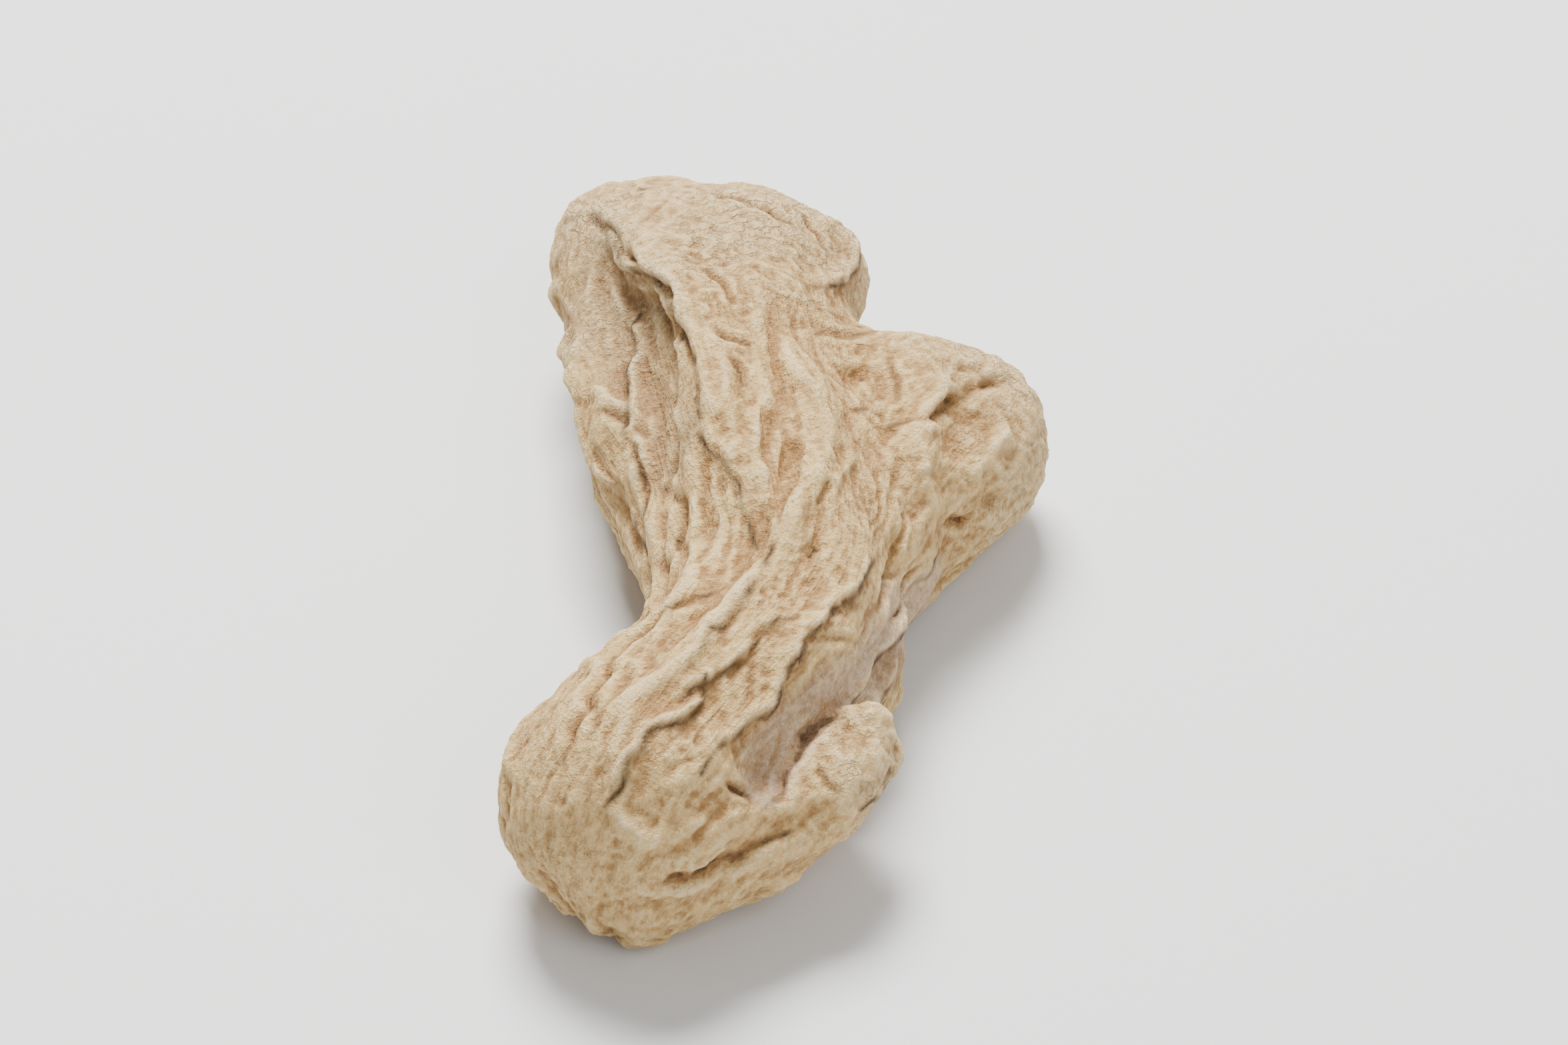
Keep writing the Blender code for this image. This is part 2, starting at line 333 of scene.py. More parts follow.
# The folds that this root is known by, drawn from its front.
KEY_STROKES = (
    # The back lobe's sharp edge, which runs on down over the waist.
    Stroke(((-9.8, 14.6), (-8.6, 14.4), (-7.8, 13.8), (-7.5, 12.9), (-6.9, 11.9), (-5.8, 11.3),
            (-5.2, 10.5), (-4.8, 9.5), (-4.2, 8.6), (-3.8, 7.6), (-3.6, 6.6), (-3.4, 5.2), (-3.1, 3.7),
            (-2.4, 2.8), (-1.7, 1.9), (-1.3, 0.7), (-0.9, -0.6)), 0.7, 0.55, LEDGE),
    # The flute: its two hollows, the rib between them and its rim.
    Stroke(((-6.8, 10.9), (-5.9, 9.9), (-5.0, 8.7), (-4.4, 7.6), (-4.1, 6.6)), 0.8, 0.22, HOLLOW),
    Stroke(((-9.3, 14.0), (-8.1, 13.7), (-7.6, 12.8), (-7.0, 11.7), (-6.2, 11.1), (-5.6, 10.5),
            (-5.2, 9.6), (-4.7, 8.6), (-4.2, 7.6), (-4.0, 6.8)), 0.38, 0.42, CREASE),
    Stroke(((-8.1, 12.3), (-7.8, 10.9), (-7.3, 9.7), (-6.8, 8.7), (-6.2, 7.5), (-5.6, 6.6),
            (-5.0, 5.8), (-4.7, 4.8), (-4.4, 3.7)), 0.34, 0.5, RIDGE),
    Stroke(((-7.4, 11.7), (-6.8, 11.0), (-5.7, 10.7)), 0.25, 0.28, RIDGE),
    Stroke(((-9.7, 9.7), (-8.9, 8.3), (-8.1, 7.0), (-7.3, 6.0), (-6.6, 5.2)), 1.0, 0.32, HOLLOW),
    Stroke(((-8.8, 12.4), (-9.0, 11.1), (-9.2, 9.9)), 0.3, 0.25, RIDGE),
    Stroke(((-10.5, 11.4), (-10.7, 9.9), (-10.4, 8.5), (-9.9, 7.4), (-9.4, 6.4), (-9.2, 5.6)),
            0.5, 0.45, RIDGE),
    # The looped fold and the folds at the neck.
    Stroke(((-9.2, 5.5), (-8.5, 5.8), (-7.7, 5.3), (-6.8, 4.7), (-6.1, 4.1), (-6.0, 3.5)),
            0.28, 0.3, RIDGE),
    Stroke(((-8.1, 5.1), (-7.1, 4.3), (-6.2, 3.6)), 0.3, 0.2, CREASE),
    Stroke(((-8.7, 3.5), (-7.8, 1.7), (-7.1, 0.7), (-6.5, -0.6), (-6.1, -1.8)), 0.8, 0.5, CREASE),
    Stroke(((-7.3, 3.5), (-6.8, 2.5), (-6.6, 1.1), (-6.1, 0.0), (-5.5, -1.2), (-5.4, -2.0),
            (-5.8, -3.2)), 0.35, 0.45, RIDGE),
    Stroke(((-5.3, 1.5), (-4.7, 0.6), (-4.5, -0.4), (-4.8, -1.6)), 0.45, 0.35, CREASE),
    Stroke(((-4.4, 3.7), (-4.1, 2.5), (-4.0, 1.1), (-3.9, -0.6), (-4.1, -2.2), (-4.8, -3.6),
            (-5.6, -4.9)), 0.35, 0.3, RIDGE),
    Stroke(((-3.3, 2.7), (-3.0, 1.5), (-2.7, 0.0), (-2.9, -1.4), (-3.3, -2.8)), 0.2, 0.16, RIDGE),
    Stroke(((-2.7, 2.5), (-2.4, 1.3), (-2.1, -0.2), (-2.3, -1.8), (-2.7, -3.2)), 0.2, 0.16, RIDGE),
    Stroke(((-2.1, 1.7), (-1.8, 0.5), (-1.7, -1.0), (-1.9, -2.2)), 0.2, 0.16, RIDGE),
    # The wavy folds on the waist, and the scars between them.
    Stroke(((-1.1, 11.2), (-1.0, 9.7), (-1.3, 8.7), (-1.1, 7.6), (-1.0, 6.5), (-1.1, 5.2), (-1.4, 3.7),
            (-1.3, 2.7), (-1.0, 1.5), (-0.5, 0.2), (-0.3, -0.8)), 0.4, 0.48, RIDGE),
    Stroke(((-0.9, 9.1), (-0.1, 8.1), (0.4, 7.0), (1.1, 6.2), (2.0, 5.0)), 0.35, 0.36, RIDGE),
    Stroke(((2.1, 4.9), (1.8, 3.5), (1.6, 2.5), (1.1, 1.4), (0.6, 0.5), (0.2, -0.6), (0.1, -1.8)),
            0.5, 0.46, RIDGE),
    Stroke(((3.2, 3.7), (3.0, 2.7), (2.2, 1.5), (1.3, 0.6)), 0.3, 0.25, RIDGE),
    Stroke(((2.1, 1.7), (1.4, 0.7)), 0.25, 0.12, CREASE),
    Stroke(((0.4, 3.7), (0.1, 2.7), (-0.2, 1.7)), 0.6, 0.3, HOLLOW),
    Stroke(((-0.1, 4.0), (-0.5, 2.7), (-0.5, 1.5)), 0.25, 0.25, RIDGE),
    Stroke(((-3.7, 8.6), (-3.0, 7.6), (-2.8, 6.6), (-2.6, 5.2), (-2.4, 3.7)), 0.3, 0.28, RIDGE),
    Stroke(((-3.0, 8.6), (-2.5, 8.3), (-1.7, 7.9)), 0.35, 0.3, CREASE),
    Stroke(((-2.3, 7.3), (-1.8, 6.8), (-1.7, 6.1)), 0.3, 0.26, CREASE),
    Stroke(((-3.6, 11.5), (-2.9, 10.9), (-2.4, 10.0)), 0.26, 0.2, CREASE),
    Stroke(((-4.0, 10.3), (-3.0, 10.4), (-2.5, 9.7)), 0.25, 0.22, RIDGE),
    # The back lobe's scar and its lumpy right edge.
    Stroke(((-3.1, 15.0), (-2.2, 15.1), (-0.9, 14.5), (0.2, 13.8)), 0.35, 0.28, CREASE),
    Stroke(((0.9, 14.2), (1.5, 13.6), (2.0, 12.6)), 0.3, 0.22, CREASE),
    Stroke(((1.3, 14.4), (2.2, 13.6), (3.0, 12.6), (3.3, 11.4)), 0.6, 0.35, RIDGE),
    Stroke(((0.5, 9.0), (1.1, 9.1), (1.7, 9.0)), 0.4, 0.2, HOLLOW),
    Stroke(((1.5, 8.4), (2.8, 8.6), (4.1, 8.7)), 0.45, 0.22, CREASE),
    # The band that runs down the stem and round the foot's top, with the ledges beside it.
    Stroke(((-0.9, -1.4), (-2.2, -3.6), (-3.3, -4.7), (-4.0, -5.9), (-4.8, -6.6), (-6.2, -7.6),
            (-6.8, -8.3), (-7.0, -9.4), (-7.3, -10.8), (-7.9, -12.1)), 0.45, 0.52, RIDGE),
    Stroke(((-7.5, -11.9), (-7.0, -10.7), (-6.4, -9.7), (-5.7, -9.0), (-4.5, -8.7), (-4.0, -8.2),
            (-3.8, -7.4)), 0.45, 0.48, LEDGE),
    Stroke(((-4.4, -7.6), (-3.3, -6.8), (-2.2, -6.0), (-1.5, -5.5), (-1.2, -4.8), (-0.6, -4.3),
            (0.1, -4.1)), 0.4, 0.38, LEDGE),
    Stroke(((-4.3, -6.4), (-3.8, -5.7), (-3.3, -4.9), (-2.8, -4.6), (-2.4, -4.1), (-1.5, -3.0),
            (-0.9, -1.8)), 0.38, 0.33, LEDGE),
    Stroke(((-9.0, -6.5), (-7.7, -6.3), (-6.4, -6.8), (-6.8, -7.7)), 0.4, 0.35, RIDGE),
    Stroke(((-8.3, -6.9), (-8.1, -8.2), (-8.3, -9.2)), 0.4, 0.2, CREASE),
    # The flank's two edges.
    Stroke(((-3.6, -10.5), (-3.1, -9.7), (-2.4, -9.2), (-1.5, -8.6), (-0.8, -8.0), (-0.3, -7.0),
            (0.5, -5.7), (1.4, -4.4), (2.2, -3.6), (3.2, -2.6), (3.9, -1.6)), 0.48, 0.6, LEDGE),
    Stroke(((3.0, -8.1), (3.3, -7.3), (4.0, -6.2), (5.0, -5.2), (6.0, -4.3)), 0.42, 0.34, LEDGE),
    # The finger: the swelling behind it, its crease, and its roll that runs on round the foot,
    # with the crease and the lip below it.
    Stroke(((3.6, -3.9), (2.6, -5.9), (1.3, -8.0), (-0.1, -9.8), (-1.1, -11.0)), 1.2, 0.3, RIDGE),
    Stroke(((2.5, -8.6), (1.6, -8.9), (0.8, -9.9), (0.1, -11.0), (-0.1, -11.9), (-0.5, -12.4)),
            0.4, 0.35, CREASE),
    Stroke(((3.9, -9.4), (3.7, -10.8), (3.0, -12.5), (2.0, -13.5)), 1.2, 0.4, RIDGE),
    Stroke(((1.2, -10.0), (0.5, -11.2), (0.0, -12.3), (-0.9, -12.7), (-2.2, -13.5), (-3.3, -14.1),
            (-4.6, -14.7), (-6.1, -15.4)), 0.5, 0.4, RIDGE),
    Stroke(((-7.8, -12.2), (-7.0, -13.0), (-5.8, -13.8), (-5.0, -13.8), (-4.0, -13.4), (-2.6, -13.0),
            (-1.3, -12.7)), 0.42, 0.5, RIDGE),
    Stroke(((0.0, -13.7), (-0.9, -14.0), (-1.9, -14.5), (-2.9, -15.0), (-3.7, -15.4), (-4.7, -15.6),
            (-5.3, -15.8)), 0.38, 0.45, CREASE),
    Stroke(((0.6, -14.1), (-0.5, -14.4), (-1.9, -15.1), (-3.1, -15.7), (-4.2, -16.0), (-5.2, -16.1),
            (-6.9, -16.2)), 0.4, 0.35, RIDGE),
    Stroke(((-2.4, -11.5), (-1.9, -11.8), (-1.6, -12.1)), 0.3, 0.28, CREASE),
    # The finger's round tip and its small marks.
    Stroke(((3.4, -8.8), (4.0, -8.8), (4.6, -9.1)), 1.0, 0.65, RIDGE),
    Stroke(((5.0, -9.9), (4.9, -10.5)), 0.6, 0.25, HOLLOW),
    Stroke(((1.6, -11.1), (2.1, -11.6), (2.5, -11.9)), 0.28, 0.24, CREASE),
    Stroke(((2.5, -9.2), (3.1, -9.6)), 0.5, 0.2, HOLLOW),
    Stroke(((1.7, -10.1), (2.5, -10.6), (3.1, -10.3)), 0.28, 0.2, RIDGE),
    # The knob's ridge, dents and creases.
    Stroke(((8.0, 7.0), (7.0, 5.7), (6.4, 4.2), (6.2, 2.6), (6.5, 1.2), (7.3, 0.2)), 0.5, 0.42, RIDGE),
    Stroke(((8.2, 5.6), (7.9, 4.2), (7.9, 2.7)), 1.0, 0.34, HOLLOW),
    Stroke(((7.9, 6.8), (8.6, 6.8), (9.3, 6.4)), 0.3, 0.18, CREASE),
    Stroke(((10.3, 4.7), (9.8, 3.4), (9.0, 2.4), (8.4, 1.6)), 0.4, 0.35, RIDGE),
    Stroke(((7.4, -0.1), (7.9, -0.2), (8.3, 0.0)), 0.35, 0.35, CREASE),
    Stroke(((2.9, 6.3), (3.5, 6.6), (4.0, 6.7)), 0.6, 0.3, HOLLOW),
    Stroke(((4.8, 7.4), (5.1, 6.4), (5.1, 5.4)), 0.25, 0.15, CREASE),
    Stroke(((9.1, 0.9), (10.2, 0.9)), 0.6, 0.28, HOLLOW),
    Stroke(((3.1, 5.0), (3.8, 5.1), (4.4, 4.9)), 0.3, 0.24, CREASE),
)

# Folds on its other sides.
FAR_STROKES = (
    # The left side: the folds that go on under the flute, and along the foot.
    Stroke(((-14.0, 3.0), (-9.0, 2.6), (-3.0, 2.0), (4.0, 0.4), (10.0, 1.0)), 0.6, 0.5, CREASE, LEFT),
    Stroke(((-13.0, -1.2), (-6.0, -2.3), (0.0, -1.7), (4.5, -2.6)), 0.5, 0.45, RIDGE, LEFT),
    Stroke(((-11.0, 0.8), (-5.0, 0.2), (0.0, -0.4), (5.0, -1.6)), 0.4, 0.4, LEDGE, LEFT),
    Stroke(((10.0, 3.4), (13.0, 1.8), (17.0, 1.6), (20.0, 0.2)), 0.4, 0.35, CREASE, LEFT),
    Stroke(((11.0, -1.4), (15.0, -2.6), (19.0, -2.2)), 0.5, 0.4, RIDGE, LEFT),
    # The right side, from the foot past the finger to the knob.
    Stroke(((-18.0, -1.8), (-12.0, -3.2), (-6.0, -2.4), (-1.0, -3.0)), 0.5, 0.45, LEDGE, RIGHT),
    Stroke(((-10.0, 0.4), (-5.0, -0.8), (-1.5, -0.4)), 0.4, 0.4, RIDGE, RIGHT),
    Stroke(((3.0, 1.6), (6.0, 0.0), (9.0, -1.6)), 0.4, 0.4, CREASE, RIGHT),
    Stroke(((12.5, 3.4), (15.0, 1.4), (18.0, 0.8), (21.0, 1.6)), 0.5, 0.4, LEDGE, RIGHT),
    Stroke(((13.0, -1.0), (16.0, -2.6), (19.5, -2.0)), 0.4, 0.35, CREASE, RIGHT),
    # The back: the wrinkles across the ends of the back lobe and of the knob.
    Stroke(((-1.5, -9.3), (0.5, -8.1), (2.6, -7.9), (4.4, -6.7), (7.2, -6.3)), 0.45, 0.42, RIDGE, BACK),
    Stroke(((0.2, -11.8), (2.4, -10.5), (4.8, -10.7), (6.4, -9.5), (8.8, -9.3)),
            0.45, 0.4, RIDGE, BACK),
    Stroke(((2.0, -9.6), (3.8, -8.9), (5.6, -8.6)), 1.0, 0.35, HOLLOW, BACK),
    Stroke(((-0.2, -6.4), (2.0, -5.9), (4.2, -5.1), (6.6, -5.0)), 0.35, 0.3, CREASE, BACK),
    Stroke(((-11.0, -5.7), (-9.2, -5.0), (-7.6, -5.8), (-5.8, -5.4)), 0.45, 0.4, RIDGE, BACK),
    Stroke(((-10.4, -7.9), (-8.6, -6.9), (-6.6, -7.5)), 0.4, 0.34, RIDGE, BACK),
    Stroke(((-10.2, -3.8), (-8.4, -4.0), (-6.4, -3.4)), 0.3, 0.26, CREASE, BACK),
    # The underside.
    Stroke(((-4.0, -12.0), (-2.5, -5.0), (-1.5, 2.0), (-3.0, 9.0)), 0.6, 0.5, CREASE, UNDER),
    Stroke(((-4.8, -5.0), (-4.2, -1.0), (-4.8, 4.0), (-5.5, 9.0)), 0.6, 0.4, RIDGE, UNDER),
    Stroke(((0.5, -6.0), (1.0, 0.0), (0.5, 6.0), (-1.5, 12.0)), 0.5, 0.45, LEDGE, UNDER),
    Stroke(((7.0, -9.0), (5.0, -4.0), (2.8, 1.0), (2.0, 6.0)), 0.5, 0.45, RIDGE, UNDER),
)

STROKES = KEY_STROKES + FAR_STROKES


@dataclass(frozen=True)
class Patch:
    """A stretch of skin with its own character, around a path drawn on it."""

    places: tuple[tuple[float, float], ...]
    reach: float


FLANK = Patch(((6.4, -3.6), (4.0, -6.4), (1.4, -9.0), (-0.8, -11.2)), 2.6)
FLUTE = Patch(((-8.0, 11.6), (-7.0, 8.6), (-6.0, 5.8), (-4.6, 3.2)), 2.9)
# Where a painted shadow darkens the skin at the flank's right edge.
SHADOW_WEDGE = Patch(((4.6, -7.0), (6.1, -5.7), (7.1, -4.5)), 1.3)
FOOT_END = Patch(((-9.4, -15.0), (-7.8, -16.6), (-5.6, -17.4), (-3.0, -17.6)), 2.6)
FOOT_SIDE = Patch(((-10.0, -7.5), (-10.6, -10.0), (-10.4, -13.0)), 4.2)

# What share of its folds, wrinkles and crumples the skin loses in each patch.
FOLD_LOSSES = ((FLANK, 0.85), (FLUTE, 0.8), (FOOT_SIDE, 0.8), (FOOT_END, 0.9))
WRINKLE_LOSSES = ((FLANK, 0.75), (FLUTE, 0.6), (FOOT_SIDE, 0.5), (FOOT_END, 0.7))
CRUMPLE_LOSSES = ((FLUTE, 0.75), (FOOT_SIDE, 0.4))


class SkinMesh:
    """A mesh of the skin as arrays, in millimetres."""

    path_step = 0.22
    hand_reach = 0.26  # how far a drawn fold strays from its places
    hand_cell = 1.2  # how soon it strays
    far_off = 60.0  # where the one who draws stands

    def __init__(self, obj: bpy.types.Object) -> None:
        """Reads an object's mesh.

        Args:
            obj: The object whose mesh is sculpted.
        """
        self.obj = obj
        mesh = obj.data
        self.places = np.empty(len(mesh.vertices) * 3)
        mesh.vertices.foreach_get("co", self.places)
        self.places = self.places.reshape(-1, 3) / MM
        edges = np.empty(len(mesh.edges) * 2, dtype=np.int64)
        mesh.edges.foreach_get("vertices", edges)
        self.edges = edges.reshape(-1, 2)
        self.links = np.bincount(self.edges.ravel(), minlength=len(self.places))
        self.normals = self._read_normals()
        self._index_places()

    def _read_normals(self) -> np.ndarray:
        """The vertices' outward directions.

        Returns:
            One row of x, y, z for each vertex.
        """
        normals = np.empty(len(self.obj.data.vertices) * 3)
        self.obj.data.vertices.foreach_get("normal", normals)
        return normals.reshape(-1, 3)

    def _index_places(self) -> None:
        """Prepares the searches for near vertices and for the nearest skin."""
        self.near = KDTree(len(self.places))
        for i, place in enumerate(self.places):
            self.near.insert(place, i)
        self.near.balance()
        shape = bmesh.new()
        shape.from_mesh(self.obj.data)
        self.surface = BVHTree.FromBMesh(shape)
        shape.free()

    def blurred(self, values: np.ndarray, rounds: int) -> np.ndarray:
        """Values spread over the skin.

        Args:
            values: One number or one row for each vertex.
            rounds: How often each vertex takes its neighbours' mean.

        Returns:
            The blurred values, in the same form.
        """
        columns = values.reshape(len(values), -1).astype(float)
        a, b = self.edges.T
        for _ in range(rounds):
            sums = [
                np.bincount(a, column[b], len(columns)) + np.bincount(b, column[a], len(columns))
                for column in columns.T
            ]
            columns = 0.5 * columns + 0.5 * np.stack([total / self.links for total in sums], axis=1)
        return columns.reshape(values.shape)

    def drawn(self, places: Iterable[tuple[float, float]], side: Side) -> tuple[np.ndarray, np.ndarray]:
        """A drawn path laid on the skin.

        Args:
            places: The path's places, right and up of the drawing's centre.
            side: Where it is drawn from.

        Returns:
            Rows of x, y, z on the skin, where the path meets it, and the outward directions there.
        """
        right, up, towards = side.axes()
        path = smooth_path(places, self.path_step)
        cells = np.column_stack([path, np.zeros(len(path))]) / self.hand_cell
        path += self.hand_reach * noise_pair(Seed.HAND, cells)
        found = []
        for across, above in path.tolist():
            start = DRAWING_CENTRE + across * right + above * up + self.far_off * towards
            place, outward, _, _ = self.surface.ray_cast(start * MM, -towards)
            if place is not None:
                found.append((*(place / MM), *outward))
        rows = np.array(found).reshape(-1, 6)
        return rows[:, :3], rows[:, 3:]

    def beside(self, path: np.ndarray, reach: float) -> tuple[np.ndarray, np.ndarray, np.ndarray]:
        """The vertices near a path.

        Args:
            path: Rows of x, y, z.
            reach: How far from the path a vertex may be.

        Returns:
            Their numbers, their distances from the path, and the nearest path row of each.
        """
        best: dict[int, tuple[float, int]] = {}
        for row, place in enumerate(path):
            for _, i, distance in self.near.find_range(place, reach):
                if i not in best or distance < best[i][0]:
                    best[i] = (distance, row)
        numbers = np.fromiter(best, dtype=np.int64, count=len(best))
        rows = np.array([best[i][1] for i in best], dtype=np.int64)
        distances = np.full(len(numbers), reach)
        for first in (np.maximum(rows - 1, 0), np.minimum(rows, len(path) - 2)):
            span = path[first + 1] - path[first]
            offset = self.places[numbers] - path[first]
            share = row_products(offset, span) / (row_products(span, span) + TINY)
            offset -= np.clip(share, 0.0, 1.0)[:, None] * span
            distances = np.minimum(distances, np.linalg.norm(offset, axis=1))
        return numbers, distances, rows

    def right_of(
        self, path: np.ndarray, outward: np.ndarray, numbers: np.ndarray, rows: np.ndarray
    ) -> np.ndarray:
        """How far vertices lie to a path's right, seen from outside.

        Args:
            path: Rows of x, y, z on the skin.
            outward: The skin's outward directions there.
            numbers: The vertices' numbers.
            rows: The nearest path row of each.

        Returns:
            One distance for each vertex, which is below 0 on the left.
        """
        ahead = np.gradient(path, axis=0)
        ahead /= np.linalg.norm(ahead, axis=1)[:, None] + TINY
        return row_products(self.places[numbers] - path[rows], np.cross(ahead, outward)[rows])

    def raised(self, heights: np.ndarray) -> None:
        """Moves the skin along its own directions.

        Args:
            heights: How far each vertex goes.
        """
        self.places += heights[:, None] * self.normals
        self.places[:, 2] = np.maximum(self.places[:, 2], 0.0)
        self.obj.data.vertices.foreach_set("co", (self.places * MM).ravel())
        self.obj.data.update()
        self.normals = self._read_normals()

    def relief(self, rounds: int) -> np.ndarray:
        """How far each vertex stands above the skin around it, which is that many blurs wide."""
        around = self.blurred(self.places, rounds)
        return row_products(self.places - around, self.normals)

    def store(self, name: str, values: np.ndarray) -> None:
        """Writes values to the mesh as an attribute.

        Args:
            name: The attribute's name.
            values: One number or one row of three for each vertex.
        """
        kind, key = ("FLOAT", "value") if values.ndim == 1 else ("FLOAT_VECTOR", "vector")
        attribute = self.obj.data.attributes.new(name, kind, "POINT")
        attribute.data.foreach_set(key, values.astype(np.float32).ravel())


@dataclass
class FlowField:
    """Where each vertex lies in each limb's flow, and how much of it belongs to that limb."""

    coordinates: dict[str, np.ndarray]
    shares: dict[str, np.ndarray]
    calm: np.ndarray
    crispness: ClassVar[float] = 5.0  # how sharply the limbs part from each other
    limb_offset: ClassVar[float] = 17.3  # how far apart their noises lie, in cells

    @classmethod
    def over(cls, places: np.ndarray) -> "FlowField":
        """The flow at given places.

        Args:
            places: Rows of x, y, z.

        Returns:
            The flow field there.
        """
        coordinates = {}
        weights = {}
        growth = np.zeros(len(places))
        for name, line in FLOW_LINES.items():
            coordinates[name], distance = line.coordinates(places)
            weights[name] = np.exp(-cls.crispness * distance**2) + TINY
        total = sum(weights.values())
        shares = {name: weight / total for name, weight in weights.items()}
        for name, line in FLOW_LINES.items():
            growth += shares[name] * smoothstep(line.calm_start, line.calm_end, coordinates[name][:, 0])
        return cls(coordinates, shares, 1.0 - growth)

    def streaks(self, noise: GradientNoise, along: float, across: float, sway: np.ndarray) -> np.ndarray:
        """Noise drawn out along the limbs.

        Args:
            noise: The noise.
            along: Its cells' length along a limb.
            across: Their width across it.
            sway: How far the cells are pushed sideways at each vertex, as rows of left and up.

        Returns:
            One number for each vertex, about -1 to 1.
        """
        cells = np.array([along, across, across])
        push = np.column_stack([np.zeros(len(sway)), sway])
        total = np.zeros(len(sway))
        power = np.zeros(len(sway))
        for offset, (name, share) in enumerate(self.shares.items()):
            places = (self.coordinates[name] + push) / cells + self.limb_offset * offset
            total += share * noise.at(places)
            power += share**2
        return total / np.sqrt(power)


def crests(values: np.ndarray, sharpness: float) -> np.ndarray:
    """Narrow crests, from 0 to 1, along the places where noise changes sign."""
    return np.clip(1.0 - sharpness * np.abs(values), 0.0, 1.0) ** 1.4


@dataclass(frozen=True)
class Streaks:
    """Folds that run along the limbs."""

    seed: Seed
    height: float
    along: float  # how far they run before they change
    across: float  # how far apart they are
    edge: float  # how narrow their crests are, or half the width of a ledge's slope

    def noise(self, flow: FlowField, sway: np.ndarray) -> np.ndarray:
        """The noise that they are made of, at each vertex."""
        return flow.streaks(GradientNoise(self.seed), self.along, self.across, sway)

    def crests(self, flow: FlowField, sway: np.ndarray) -> np.ndarray:
        """Narrow crests, from 0 to 1 at each vertex."""
        return crests(self.noise(flow, sway), self.edge)

    def ledges(self, flow: FlowField, sway: np.ndarray) -> np.ndarray:
        """Flat terraces with steep slopes between them, from 0 to 1 at each vertex."""
        return smoothstep(-self.edge, self.edge, self.noise(flow, sway))


